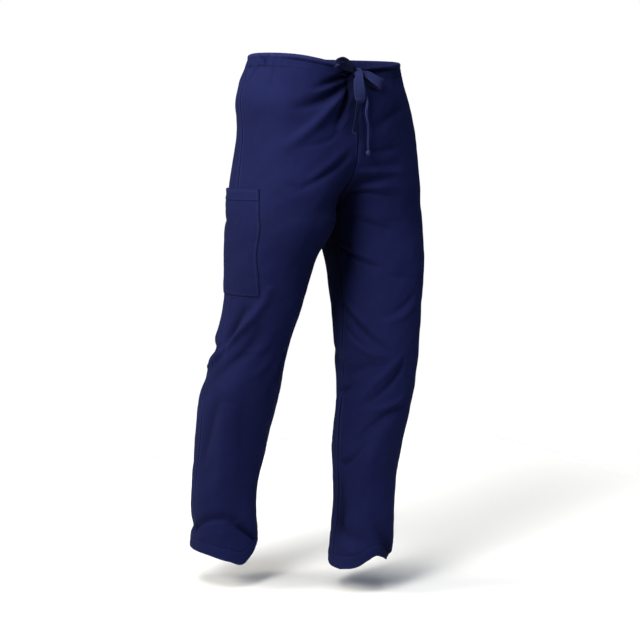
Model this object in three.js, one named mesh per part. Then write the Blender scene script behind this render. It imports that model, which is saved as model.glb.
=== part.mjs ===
// Drawstring scrub trousers with one thigh pocket, in the pose of a standing wearer.
// Millimetres, +Z up, garment front towards -Y, origin at the centre of the waist opening.
import * as THREE from "three";

// Driving dimensions
const wall = 1.5;
const seamGap = 0.3;
const crotchZ = -302;
const hemLevel = 985;
const roundness = 2.25;
const casingHeight = 25;
const casingRoom = 3.8;
const casingTab = 8;
const casingSlit = 4.2;
const hemDepth = 25;
const hemThickness = 2.8;
const pocketWidth = 176;
const pocketLift = 1;
const pocketWall = 1.4;
const pocketHem = 22;
const pocketHemThickness = 2.4;
const tapeWidth = 22;
const tapeThickness = 1.2;
const tapeInCasing = 16;
const panelColumns = 14;
const deg = Math.PI / 180;

// Half of the trunk, the same on both sides, as four half axes about a centre line
const trunkRows = [
  { z: 40, cx: 0, cy: -6, inner: 60, outer: 160, front: 106, back: 115, turn: 0 },
  { z: 0, cx: 0, cy: -6, inner: 60, outer: 161, front: 106, back: 118, turn: 0 },
  { z: -28, cx: 0, cy: -6, inner: 70, outer: 170, front: 108, back: 130, turn: 0 },
  { z: -60, cx: 3, cy: -6, inner: 90, outer: 177, front: 116, back: 133, turn: 0 },
  { z: -120, cx: 12, cy: -6, inner: 108, outer: 173, front: 121, back: 138, turn: 0 },
  { z: -180, cx: 30, cy: -6, inner: 112, outer: 161, front: 123, back: 144, turn: 0 },
  { z: -235, cx: 62, cy: -6, inner: 104, outer: 136, front: 123, back: 143, turn: 0 },
  { z: -280, cx: 88, cy: -6, inner: 97, outer: 115, front: 115, back: 133, turn: 0 },
  { z: crotchZ, cx: 96, cy: -6, inner: 96, outer: 108, front: 114, back: 127, turn: 0 },
];

// Each leg below the crotch, the right one trailing and the left one forward
const legRows = {
  right: [
    { z: -380, cx: 117, cy: 12, inner: 77, outer: 85, front: 104, back: 106, turn: 8 },
    { z: -460, cx: 120, cy: 33, inner: 70, outer: 74, front: 95, back: 97, turn: 12 },
    { z: -560, cx: 133, cy: 63, inner: 65, outer: 67, front: 86, back: 84, turn: 9 },
    { z: -660, cx: 143, cy: 93, inner: 71, outer: 72, front: 85, back: 87, turn: 4 },
    { z: -760, cx: 147, cy: 116, inner: 66, outer: 69, front: 75, back: 77, turn: 1 },
    { z: -870, cx: 156, cy: 133, inner: 62, outer: 64, front: 68, back: 69, turn: 0 },
    { z: -950, cx: 153, cy: 138, inner: 64, outer: 65, front: 69, back: 67, turn: 0 },
    { z: -1004, cx: 153, cy: 138, inner: 65, outer: 66, front: 69, back: 67, turn: 0 },
  ],
  left: [
    { z: -380, cx: 100, cy: -26, inner: 84, outer: 92, front: 107, back: 109, turn: 6 },
    { z: -460, cx: 95, cy: -42, inner: 75, outer: 81, front: 98, back: 98, turn: 10 },
    { z: -560, cx: 86, cy: -58, inner: 71, outer: 73, front: 91, back: 89, turn: 12 },
    { z: -660, cx: 81, cy: -60, inner: 65, outer: 67, front: 79, back: 79, turn: 12 },
    { z: -760, cx: 68, cy: -54, inner: 60, outer: 62, front: 72, back: 72, turn: 12 },
    { z: -870, cx: 61, cy: -50, inner: 54, outer: 56, front: 63, back: 63, turn: 12 },
    { z: -950, cx: 55, cy: -50, inner: 57, outer: 59, front: 67, back: 65, turn: 12 },
    { z: -1004, cx: 53, cy: -50, inner: 58, outer: 59, front: 68, back: 65, turn: 12 },
  ],
};

// Sideways sway of the middle, and how the front seam drifts and sinks between the thighs
const middleRows = [
  { z: 40, sway: 4, drift: 0, sink: 0 },
  { z: -20, sway: -2, drift: 0, sink: 0 },
  { z: -60, sway: -2, drift: -4, sink: 1 },
  { z: -120, sway: 7, drift: -10, sink: 7 },
  { z: -180, sway: 7, drift: -12, sink: 9 },
  { z: -235, sway: 4, drift: -11, sink: 19 },
  { z: -280, sway: 2, drift: -5, sink: 18 },
  { z: crotchZ, sway: 2, drift: 0, sink: 0 },
  { z: -1004, sway: 2, drift: 0, sink: 0 },
];
const middleReach = 34;

// Where the seams run round each leg, in degrees from its inner side towards the front
const seamRows = [
  { z: 40, inRight: 0, outRight: 188, inLeft: 0, outLeft: 178 },
  { z: crotchZ, inRight: 0, outRight: 188, inLeft: 0, outLeft: 178 },
  { z: -380, inRight: 0, outRight: 188, inLeft: -6, outLeft: 178 },
  { z: -560, inRight: -2, outRight: 188, inLeft: -24, outLeft: 174 },
  { z: -760, inRight: -4, outRight: 188, inLeft: -24, outLeft: 172 },
  { z: -1004, inRight: -4, outRight: 186, inLeft: -22, outLeft: 172 },
];

// Height of the waist edge round each half, in degrees from the inner side
const edgeRows = {
  right: [
    { at: 90, height: -8 },
    { at: 120, height: 7 },
    { at: 150, height: 20 },
    { at: 180, height: 22 },
    { at: 205, height: 18 },
    { at: 270, height: 12 },
  ],
  left: [
    { at: 90, height: -8 },
    { at: 120, height: -3 },
    { at: 150, height: 2 },
    { at: 180, height: 6 },
    { at: 205, height: 8 },
    { at: 270, height: 12 },
  ],
};
const edgeFade = 150;

// Height of the hem round each leg, lower where it breaks at the front
const hemRows = {
  right: [
    { at: 0, height: -968 },
    { at: 48, height: -966 },
    { at: 68, height: -981 },
    { at: 88, height: -999 },
    { at: 115, height: -990 },
    { at: 154, height: -979 },
    { at: 202, height: -976 },
    { at: 270, height: -980 },
    { at: 330, height: -972 },
    { at: 360, height: -968 },
  ],
  left: [
    { at: 0, height: -1003 },
    { at: 41, height: -991 },
    { at: 56, height: -979 },
    { at: 69, height: -971 },
    { at: 84, height: -976 },
    { at: 99, height: -984 },
    { at: 115, height: -978 },
    { at: 180, height: -985 },
    { at: 270, height: -990 },
    { at: 330, height: -1002 },
    { at: 360, height: -1003 },
  ],
};
const hemFade = 110;

// Folds: a valley has a positive depth and a ridge a negative one, from start to end
const foldRows = [
  { side: "right", at: 94, z: -14, toAt: 133, toZ: -46, width: 9, depth: 3.5, end: 0.5 },
  { side: "right", at: 96, z: -27, toAt: 146, toZ: -86, width: 13, depth: 6, end: 0.8 },
  { side: "right", at: 96, z: -50, toAt: 108, toZ: -114, width: 10, depth: 4.5, end: 1 },
  { side: "right", at: 99, z: -52, toAt: 143, toZ: -150, width: 15, depth: -4, end: -2 },
  { side: "right", at: 91, z: -170, toAt: 129, toZ: -231, width: 24, depth: 5, end: 1 },
  { side: "right", at: 70, z: -262, toAt: 96, toZ: -296, width: 16, depth: 4, end: 0.5 },
  { side: "right", at: 114, z: -436, toAt: 152, toZ: -552, width: 17, depth: -6, end: -4 },
  { side: "right", at: 128, z: -462, toAt: 166, toZ: -540, width: 15, depth: 4, end: 5 },
  { side: "right", at: 156, z: -560, toAt: 214, toZ: -592, width: 13, depth: 7, end: 5 },
  { side: "right", at: 214, z: -560, toAt: 262, toZ: -572, width: 16, depth: 7, end: 3 },
  { side: "right", at: 58, z: -560, toAt: 74, toZ: -612, width: 13, depth: 4, end: 2 },
  { side: "right", at: 74, z: -612, toAt: 62, toZ: -690, width: 13, depth: 3, end: 1 },
  { side: "right", at: 105, z: -524, toAt: 92, toZ: -570, width: 20, depth: -5, end: -3 },
  { side: "right", at: 150, z: -660, toAt: 176, toZ: -800, width: 18, depth: 3, end: 1 },
  { side: "right", at: 172, z: -905, toAt: 96, toZ: -928, width: 15, depth: 5, end: 4 },
  { side: "right", at: 93, z: -930, toAt: 50, toZ: -966, width: 11, depth: 4, end: 2 },
  { side: "right", at: 250, z: -900, toAt: 320, toZ: -935, width: 15, depth: 5, end: 2 },
  { side: "left", at: 74, z: -250, toAt: 100, toZ: -260, width: 9, depth: 6, end: 1 },
  { side: "left", at: 70, z: -236, toAt: 96, toZ: -243, width: 9, depth: -3, end: -1 },
  { side: "left", at: 78, z: -214, toAt: 102, toZ: -224, width: 14, depth: 5, end: 1 },
  { side: "left", at: 60, z: -286, toAt: 30, toZ: -330, width: 20, depth: 6, end: 5 },
  { side: "left", at: 48, z: -306, toAt: 80, toZ: -322, width: 11, depth: 3, end: 1 },
  { side: "left", at: 12, z: -356, toAt: 56, toZ: -392, width: 11, depth: 5, end: 1.5 },
  { side: "left", at: 352, z: -428, toAt: 38, toZ: -497, width: 13, depth: 4, end: 2 },
  { side: "left", at: 338, z: -522, toAt: 40, toZ: -552, width: 15, depth: 5, end: 2 },
  { side: "left", at: 60, z: -560, toAt: 100, toZ: -536, width: 16, depth: 3, end: 2 },
  { side: "left", at: 300, z: -556, toAt: 345, toZ: -600, width: 15, depth: 7, end: 6 },
  { side: "left", at: 250, z: -560, toAt: 200, toZ: -548, width: 15, depth: 6, end: 2 },
  { side: "left", at: 36, z: -650, toAt: 60, toZ: -658, width: 10, depth: 3, end: 1 },
  { side: "left", at: 66, z: -915, toAt: 108, toZ: -972, width: 14, depth: 6, end: 5 },
  { side: "left", at: 345, z: -912, toAt: 52, toZ: -940, width: 14, depth: 4, end: 3 },
  { side: "left", at: 210, z: -905, toAt: 290, toZ: -935, width: 15, depth: 5, end: 3 },
  { side: "right", at: 262, z: -262, toAt: 215, toZ: -300, width: 20, depth: 6, end: 2 },
  { side: "left", at: 262, z: -268, toAt: 210, toZ: -306, width: 20, depth: 6, end: 2 },
  { side: "right", at: 276, z: -330, toAt: 235, toZ: -396, width: 16, depth: 5, end: 1 },
  { side: "left", at: 280, z: -336, toAt: 240, toZ: -405, width: 16, depth: 5, end: 1 },
];

// Gathers under the casing: one push in or out for each panel column, read round each half
const gatherRows = {
  right: { flatFrom: 90, flatTo: 146, depth: 1.7 },
  left: { flatFrom: 90, flatTo: 128, depth: 1.7 },
};
const gatherDrop = 70;
const gatherSeed = { right: 3.1, left: 7.7 };

// Rows of each panel, as depths below the waist edge
const panelBands = [
  { from: casingHeight + seamGap, to: casingHeight + casingTab + 2, count: 2 },
  { from: casingHeight + casingTab + 2, to: 60, count: 2 },
  { from: 60, to: 210, count: 8 },
  { from: 210, to: 270, count: 5 },
  { from: 270, to: 302, count: 5 },
  { from: 302, to: 332, count: 3 },
  { from: 332, to: 520, count: 8 },
  { from: 520, to: 620, count: 5 },
  { from: 620, to: 880, count: 8 },
  { from: 880, to: hemLevel - hemDepth, count: 3 },
  { from: hemLevel - hemDepth, to: hemLevel, count: 1 },
];

// The thigh pocket: its front edge on the right leg, and how its top and bottom edges tilt
const pocketRows = [
  { z: -234, frontAt: 160 },
  { z: -282, frontAt: 153 },
  { z: -339, frontAt: 141 },
  { z: -398, frontAt: 125 },
  { z: -441, frontAt: 119 },
];
const pocketTilt = 7;
const pocketMouth = 1.2;

// Knot and the tape that hangs from it, measured from the knot's centre
const knot = { x: -5, y: -123.5, z: -15, halfWidth: 8, halfDepth: 7, halfHeight: 8 };

const sideSign = { right: -1, left: 1 };

function clamp(value, low, high) {
  return Math.min(high, Math.max(low, value));
}

function ease(value) {
  const t = clamp(value, 0, 1);
  return t * t * (3 - 2 * t);
}

function mix(a, b, t) {
  return a + (b - a) * t;
}

// Smooth curve through the rows of a table
function curve(rows, key, place, value) {
  const direction = Math.sign(rows[rows.length - 1][key] - rows[0][key]);
  const last = rows.length - 1;
  const x = clamp(direction * place, direction * rows[0][key], direction * rows[last][key]);
  let i = 0;
  while (i < last - 1 && direction * rows[i + 1][key] <= x) {
    i += 1;
  }
  const span = (k) => direction * (rows[k + 1][key] - rows[k][key]);
  const rise = (k) => (rows[k + 1][value] - rows[k][value]) / span(k);
  const slope = (k) => {
    if (k === 0) {
      return rise(0);
    }
    if (k === last) {
      return rise(last - 1);
    }
    return (rise(k - 1) * span(k) + rise(k) * span(k - 1)) / (span(k - 1) + span(k));
  };
  const h = span(i);
  const t = (x - direction * rows[i][key]) / h;
  const s = 1 - t;
  const ends = (1 + 2 * t) * s * s * rows[i][value] + t * t * (3 - 2 * t) * rows[i + 1][value];
  return ends + t * s * h * (s * slope(i) - t * slope(i + 1));
}

// Both sides share the trunk, and the row after it is their mean
const meanLeg = { z: -380, cy: -6, turn: 0 };
for (const value of ["cx", "inner", "outer", "front", "back"]) {
  meanLeg[value] = (legRows.right[0][value] + legRows.left[0][value]) / 2;
}
const sharedRows = [...trunkRows, meanLeg];
const wholeRows = {
  right: [...trunkRows, ...legRows.right],
  left: [...trunkRows, ...legRows.left],
};

function sectionAt(side, z) {
  const rows = z >= crotchZ ? sharedRows : wholeRows[side];
  const section = {};
  for (const value of ["cx", "cy", "inner", "outer", "front", "back", "turn"]) {
    section[value] = curve(rows, "z", z, value);
  }
  return section;
}

// Angle at which a half reaches the middle plane, 0 below the crotch
function seamAngle(section, half) {
  const reach = Math.max(0, section.cx) / section.inner;
  if (reach >= 1) {
    return 0;
  }
  const forward = half * Math.pow(1 - Math.pow(reach, roundness), 1 / roundness);
  return Math.atan2(forward, Math.max(0, section.cx)) / deg;
}

function foldAt(side, at, z, section) {
  const perDegree = ((section.front + section.back + section.outer) / 3) * deg;
  let push = 0;
  for (const fold of foldRows) {
    if (fold.side !== side) {
      continue;
    }
    const across = (((at - fold.at + 900) % 360) - 180) * perDegree;
    const down = z - fold.z;
    const turnBy = fold.toAt - fold.at;
    const runAcross = ((((turnBy + 900) % 360) - 180)) * perDegree;
    const runDown = fold.toZ - fold.z;
    const length = runAcross * runAcross + runDown * runDown;
    const t = clamp((across * runAcross + down * runDown) / length, 0, 1);
    const away = Math.hypot(across - t * runAcross, down - t * runDown);
    push -= mix(fold.depth, fold.end, t) * Math.exp(-(away * away) / (fold.width * fold.width));
  }
  return push;
}

// Angles of the columns of a front or back panel at one height
function columnAngles(side, z, isFront) {
  const section = sectionAt(side, z);
  const isRight = side === "right";
  const inseam = curve(seamRows, "z", z, isRight ? "inRight" : "inLeft");
  const outseam = curve(seamRows, "z", z, isRight ? "outRight" : "outLeft");
  const half = isFront ? section.front : section.back;
  const seam = seamAngle(section, half);
  const split = ((seamGap / 2) / 80) / deg;
  const low = isFront ? inseam + split : split - inseam;
  const begin = z < crotchZ ? low : Math.max(seam, split);
  const start = isFront ? begin : -begin;
  const end = isFront ? outseam - split : outseam + split - 360;
  const angles = [];
  for (let k = 0; k <= panelColumns; k += 1) {
    angles.push(mix(start, end, k / panelColumns));
  }
  return angles;
}

// Push in or out of each gather, straight between the panel columns
const gatherAngles = {};
for (const side of ["right", "left"]) {
  const front = columnAngles(side, 0, true);
  const back = columnAngles(side, 0, false).reverse().map((at) => at + 360);
  gatherAngles[side] = [...front, ...back];
}

function gatherAt(side, at, z, edge) {
  const angles = gatherAngles[side];
  const place = ((at + 720) % 360);
  const rows = gatherRows[side];
  const pushOf = (k) => {
    const flat = ease((angles[k] - rows.flatTo) / 14);
    const uneven = 0.65 + 0.35 * Math.sin(k * 2.3 + gatherSeed[side]);
    return (k % 2 === 0 ? 1 : -1) * rows.depth * uneven * flat;
  };
  let i = 0;
  while (i < angles.length - 2 && angles[i + 1] <= place) {
    i += 1;
  }
  const t = clamp((place - angles[i]) / (angles[i + 1] - angles[i]), 0, 1);
  const below = clamp((edge - z) / gatherDrop, 0, 1);
  const fade = mix(0.7, 1, ease(below * 3)) * (1 - ease(below));
  return mix(pushOf(i), pushOf(i + 1), t) * fade;
}

// Height of the waist edge and drop of the hem, worked into the height of every point
function edgeHeight(side, at) {
  const place = ((at + 720) % 360);
  return curve(edgeRows[side], "at", clamp(place, 90, 270), "height");
}

function heightAt(side, at, depth) {
  const low = casingHeight + casingTab;
  const top = edgeHeight(side, at) * (1 - ease((depth - low) / edgeFade));
  const place = ((at + 720) % 360);
  const drop = curve(hemRows[side], "at", place, "height") + hemLevel;
  return top - depth + drop * ease((depth - hemLevel + hemFade) / hemFade);
}

// Outer face of the cloth at an angle and height, before the seams are trimmed
function facePoint(side, at, z) {
  const section = sectionAt(side, z);
  const c = Math.cos(at * deg);
  const s = Math.sin(at * deg);
  const across = c > 0 ? section.inner : section.outer;
  const along = s > 0 ? section.front : section.back;
  const sum = Math.pow(Math.abs(c) / across, roundness) + Math.pow(Math.abs(s) / along, roundness);
  const radius = Math.pow(sum, -1 / roundness) + foldAt(side, at, z, section)
    + gatherAt(side, at, z, edgeHeight(side, at));
  const out = -radius * c;
  const forward = radius * s;
  const turn = section.turn * deg;
  const x = section.cx + out * Math.cos(turn) + forward * Math.sin(turn);
  const y = -section.cy - out * Math.sin(turn) + forward * Math.cos(turn);
  let drift = 0;
  let sink = 0;
  if (z > crotchZ && s > 0) {
    const away = (at - seamAngle(section, section.front)) / middleReach;
    const near = Math.exp(-away * away);
    drift = curve(middleRows, "z", z, "drift") * near;
    sink = curve(middleRows, "z", z, "sink") * near;
  }
  const sway = curve(middleRows, "z", z, "sway");
  return new THREE.Vector3(sideSign[side] * x + sway + drift, -y + sink, z);
}

function faceNormal(side, at, z) {
  const a = facePoint(side, at - 0.6, z);
  const b = facePoint(side, at + 0.6, z);
  const c = facePoint(side, at, z - 1.2);
  const d = facePoint(side, at, z + 1.2);
  const round = b.sub(a);
  const up = d.sub(c);
  const normal = new THREE.Vector3().crossVectors(round, up).normalize();
  return normal.multiplyScalar(sideSign[side]);
}

// Keeps a point on its own side of the middle plane above the crotch
function keepSide(side, point, z) {
  if (z < crotchZ) {
    return point;
  }
  const drift = point.y < -6 ? curve(middleRows, "z", z, "drift") : 0;
  const middle = curve(middleRows, "z", z, "sway") + drift;
  const least = seamGap / 2;
  const away = Math.max(least, sideSign[side] * (point.x - middle));
  point.x = middle + sideSign[side] * away;
  return point;
}

// Closed mesh from a grid of outer points and a grid of inner points
function makeShell(outer, inner) {
  const rows = outer.length;
  const columns = outer[0].length;
  const points = [];
  for (const grid of [outer, inner]) {
    for (const row of grid) {
      for (const point of row) {
        points.push(point.x, point.y, point.z);
      }
    }
  }
  const at = (layer, i, j) => layer * rows * columns + i * columns + j;
  const faces = [];
  const quad = (a, b, c, d) => {
    faces.push(a, b, c, a, c, d);
  };
  for (let i = 0; i < rows - 1; i += 1) {
    for (let j = 0; j < columns - 1; j += 1) {
      quad(at(0, i, j), at(0, i + 1, j), at(0, i + 1, j + 1), at(0, i, j + 1));
      faces.push(at(1, i, j), at(1, i + 1, j + 1), at(1, i + 1, j));
      faces.push(at(1, i, j), at(1, i, j + 1), at(1, i + 1, j + 1));
    }
  }
  for (let i = 0; i < rows - 1; i += 1) {
    const j = columns - 1;
    quad(at(0, i, 0), at(1, i, 0), at(1, i + 1, 0), at(0, i + 1, 0));
    quad(at(0, i, j), at(0, i + 1, j), at(1, i + 1, j), at(1, i, j));
  }
  for (let j = 0; j < columns - 1; j += 1) {
    const i = rows - 1;
    quad(at(0, 0, j), at(0, 0, j + 1), at(1, 0, j + 1), at(1, 0, j));
    quad(at(0, i, j), at(1, i, j), at(1, i, j + 1), at(0, i, j + 1));
  }
  return makeSolid(points, faces);
}

// Closed mesh from rings of points, with flat ends
function makeSweep(rings) {
  const count = rings[0].length;
  const points = [];
  for (const ring of rings) {
    for (const point of ring) {
      points.push(point.x, point.y, point.z);
    }
  }
  const faces = [];
  for (let i = 0; i < rings.length - 1; i += 1) {
    for (let j = 0; j < count; j += 1) {
      const next = (j + 1) % count;
      const a = i * count + j;
      const b = i * count + next;
      faces.push(a, b, b + count, a, b + count, a + count);
    }
  }
  const ends = [{ base: 0, flip: true }, { base: (rings.length - 1) * count, flip: false }];
  for (const end of ends) {
    const ring = rings[end.base / count];
    const flat = flatten(ring);
    for (const [a, b, c] of THREE.ShapeUtils.triangulateShape(flat, [])) {
      const isForward = area(flat) > 0;
      const keep = isForward !== end.flip;
      faces.push(end.base + a, end.base + (keep ? b : c), end.base + (keep ? c : b));
    }
  }
  return makeSolid(points, faces);
}

// A ring's points in its own plane
function flatten(ring) {
  const centre = new THREE.Vector3();
  ring.forEach((point) => centre.addScaledVector(point, 1 / ring.length));
  const normal = new THREE.Vector3();
  ring.forEach((point, j) => {
    const a = point.clone().sub(centre);
    const b = ring[(j + 1) % ring.length].clone().sub(centre);
    normal.add(a.cross(b));
  });
  normal.normalize();
  const u = ring[0].clone().sub(centre);
  u.addScaledVector(normal, -u.dot(normal)).normalize();
  const v = new THREE.Vector3().crossVectors(normal, u);
  return ring.map((point) => {
    const away = point.clone().sub(centre);
    return new THREE.Vector2(away.dot(u), away.dot(v));
  });
}

function area(flat) {
  return THREE.ShapeUtils.area(flat);
}

// Geometry whose faces all look outwards
function makeSolid(points, faces) {
  let volume = 0;
  const p = (k) => new THREE.Vector3(points[3 * k], points[3 * k + 1], points[3 * k + 2]);
  for (let k = 0; k < faces.length; k += 3) {
    volume += p(faces[k]).dot(p(faces[k + 1]).cross(p(faces[k + 2])));
  }
  if (volume < 0) {
    for (let k = 0; k < faces.length; k += 3) {
      [faces[k + 1], faces[k + 2]] = [faces[k + 2], faces[k + 1]];
    }
  }
  const geometry = new THREE.BufferGeometry();
  geometry.setAttribute("position", new THREE.Float32BufferAttribute(points, 3));
  geometry.setIndex(faces);
  geometry.computeVertexNormals();
  return geometry;
}

const navy = new THREE.MeshStandardMaterial({ color: 0x14163f, roughness: 0.9 });
const navyTape = new THREE.MeshStandardMaterial({ color: 0x1d2150, roughness: 0.85 });
const trousers = new THREE.Group();
trousers.name = "scrub_trousers";

function add(name, geometry, material) {
  const mesh = new THREE.Mesh(geometry, material);
  mesh.name = name;
  trousers.add(mesh);
}

// Four panels: front and back of each side, from the casing to the hem
function makePanel(side, isFront) {
  const outer = [];
  const inner = [];
  const depths = [];
  for (const band of panelBands) {
    for (let k = 0; k < band.count; k += 1) {
      depths.push(mix(band.from, band.to, k / band.count));
    }
  }
  depths.push(panelBands[panelBands.length - 1].to);
  for (const depth of depths) {
    const thick = depth >= hemLevel - hemDepth ? hemThickness : wall;
    const angles = columnAngles(side, -depth, isFront);
    const outerRow = [];
    const innerRow = [];
    for (const at of angles) {
      const z = heightAt(side, at, depth);
      const point = facePoint(side, at, z);
      const normal = faceNormal(side, at, z);
      const isSeam = at === angles[0] && depth <= -crotchZ;
      const within = point.clone().addScaledVector(normal, -thick);
      outerRow.push(isSeam ? onMiddle(side, point, z, isFront) : keepSide(side, point, z));
      innerRow.push(keepSide(side, within, z));
    }
    outer.push(outerRow);
    inner.push(innerRow);
  }
  return makeShell(outer, inner);
}

// Puts a seam point exactly half a seam gap off the middle plane
function onMiddle(side, point, z, isFront) {
  const drift = isFront ? curve(middleRows, "z", z, "drift") : 0;
  const middle = curve(middleRows, "z", z, "sway") + drift;
  point.x = middle + sideSign[side] * (seamGap / 2);
  return point;
}

for (const side of ["right", "left"]) {
  add(`front_${side}`, makePanel(side, true), navy);
  add(`back_${side}`, makePanel(side, false), navy);
}

// Casing: the waist edge turned down inside, as a tunnel for the tape, open at the front
const casingMiddle = wall + casingRoom / 2;
const casingUnder = wall + casingRoom;
const casingDeep = casingUnder + wall;
const tabOff = wall + 0.5;
const casingLow = casingHeight + casingTab;
const casingProfile = [
  { off: 0, down: casingHeight, underOff: -wall, underDown: casingHeight },
  { off: 0, down: 11, underOff: -wall, underDown: 11 },
  { off: 0, down: 3, underOff: -wall, underDown: 3.4 },
  { off: -1, down: 0.8, underOff: -wall - 0.7, underDown: 2 },
  { off: -casingMiddle, down: 0, underOff: -casingMiddle, underDown: wall },
  { off: 1 - casingDeep, down: 0.8, underOff: 0.7 - casingUnder, underDown: 2 },
  { off: -casingDeep, down: 3, underOff: -casingUnder, underDown: 3.4 },
  { off: -casingDeep, down: 11, underOff: -casingUnder, underDown: 11 },
  { off: -casingDeep, down: 21.5, underOff: -casingUnder, underDown: 20.8 },
  { off: -tabOff - wall, down: 25.6, underOff: -tabOff, underDown: 25.3 },
  { off: -tabOff - wall, down: casingLow, underOff: -tabOff, underDown: casingLow },
];

function casingAngles(side) {
  const front = columnAngles(side, 0, true);
  const back = columnAngles(side, 0, false).reverse().map((at) => at + 360);
  const slit = (casingSlit / 106) / deg;
  front[0] += slit;
  return [...front, ...back];
}

function casingPoint(side, at, off, down) {
  const z = edgeHeight(side, at) - down;
  const normal = faceNormal(side, at, z);
  normal.z = 0;
  normal.normalize();
  const point = facePoint(side, at, z).addScaledVector(normal, off);
  return keepSide(side, point, z);
}

for (const side of ["right", "left"]) {
  const outer = [];
  const under = [];
  for (const at of casingAngles(side)) {
    outer.push(casingProfile.map((spot) => casingPoint(side, at, spot.off, spot.down)));
    under.push(casingProfile.map((spot) => casingPoint(side, at, spot.underOff, spot.underDown)));
  }
  add(`casing_${side}`, makeShell(outer, under), navy);
}

// Tape inside the casing, from the knot round the back and out again through the slit
const tunnelTop = 3.9;

function bandRing(middles, normal) {
  const out = normal.clone().multiplyScalar(tapeThickness / 2);
  const near = middles.map((point) => point.clone().add(out));
  const far = middles.map((point) => point.clone().sub(out));
  return [...near, ...far.reverse()];
}

function bandPart(side) {
  const part = [];
  const x = -1.5 + sideSign[side] * (tapeThickness / 2 + 0.25);
  const exits = [
    { y: knot.y + knot.halfDepth + 0.6, half: 4 },
    { y: knot.y + knot.halfDepth + 3.5, half: 6 },
  ];
  for (const exit of exits) {
    const middles = [exit.half, 0, -exit.half].map((up) => new THREE.Vector3(x, exit.y, knot.z + up));
    part.push(bandRing(middles, new THREE.Vector3(-sideSign[side], 0, 0)));
  }
  for (const at of casingAngles(side)) {
    const off = -casingMiddle;
    const downs = [tunnelTop, 11, tunnelTop + tapeInCasing];
    const middles = downs.map((down) => casingPoint(side, at, off, down));
    const normal = faceNormal(side, at, middles[0].z);
    normal.z = 0;
    part.push(bandRing(middles, normal.normalize()));
  }
  return part;
}

function bandRings() {
  const left = bandPart("left").reverse();
  const right = bandPart("right");
  return [...right, ...left];
}
add("drawstring_band", makeSweep(bandRings()), navyTape);

// Pocket: a patch moved out from the thigh, thicker at its folded top edge
function arcTo(side, z, from, length) {
  let at = from;
  let gone = 0;
  let last = facePoint(side, at, z);
  while (gone < length) {
    at += 0.5;
    const next = facePoint(side, at, z);
    gone += next.distanceTo(last);
    last = next;
  }
  return at;
}

function makePocket() {
  const topZ = pocketRows[0].z;
  const lowZ = pocketRows[pocketRows.length - 1].z;
  const heights = [topZ, topZ - pocketHem, topZ - pocketHem - 0.5];
  const rows = 12;
  for (let k = 1; k <= rows; k += 1) {
    heights.push(mix(topZ - pocketHem - 0.5, lowZ, k / rows));
  }
  const columns = 13;
  const outer = [];
  const inner = [];
  heights.forEach((height, i) => {
    const frontAt = curve(pocketRows, "z", height, "frontAt");
    const rearAt = arcTo("right", height, frontAt, pocketWidth);
    const thick = i < 2 ? pocketHemThickness : pocketWall;
    const outerRow = [];
    const innerRow = [];
    for (let j = 0; j <= columns; j += 1) {
      const u = j / columns;
      const at = mix(frontAt, rearAt, u);
      const z = height - pocketTilt * u;
      const normal = faceNormal("right", at, z);
      const mouth = pocketMouth * Math.sin(Math.PI * u) * ease(1 - (topZ - height) / 80);
      const base = facePoint("right", at, z);
      innerRow.push(base.clone().addScaledVector(normal, pocketLift + mouth));
      outerRow.push(base.clone().addScaledVector(normal, pocketLift + mouth + thick));
    }
    outer.push(outerRow);
    inner.push(innerRow);
  });
  return makeShell(outer, inner);
}
add("cargo_pocket", makePocket(), navy);

// Knot: a rounded lump of tape in front of the casing's slit
function roundLump(centre, halfWidth, halfDepth, halfHeight, around, rows) {
  const points = [];
  const faces = [];
  points.push(centre.x, centre.y, centre.z + halfHeight);
  for (let i = 1; i < rows; i += 1) {
    const tilt = (Math.PI * i) / rows;
    for (let j = 0; j < around; j += 1) {
      const turn = (2 * Math.PI * j) / around;
      const flat = Math.pow(Math.sin(tilt), 0.8);
      points.push(centre.x + halfWidth * flat * Math.cos(turn));
      points.push(centre.y + halfDepth * flat * Math.sin(turn));
      points.push(centre.z + halfHeight * Math.cos(tilt));
    }
  }
  points.push(centre.x, centre.y, centre.z - halfHeight);
  const last = points.length / 3 - 1;
  for (let j = 0; j < around; j += 1) {
    const next = (j + 1) % around;
    faces.push(0, 1 + j, 1 + next);
    for (let i = 0; i < rows - 2; i += 1) {
      const a = 1 + i * around;
      const b = a + around;
      faces.push(a + j, b + j, b + next, a + j, b + next, a + next);
    }
    const low = 1 + (rows - 2) * around;
    faces.push(low + j, last, low + next);
  }
  return makeSolid(points, faces);
}

const knotCentre = new THREE.Vector3(knot.x, knot.y, knot.z);
add("tie_knot", roundLump(knotCentre, knot.halfWidth, knot.halfDepth, knot.halfHeight, 14, 8), navyTape);

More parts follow.
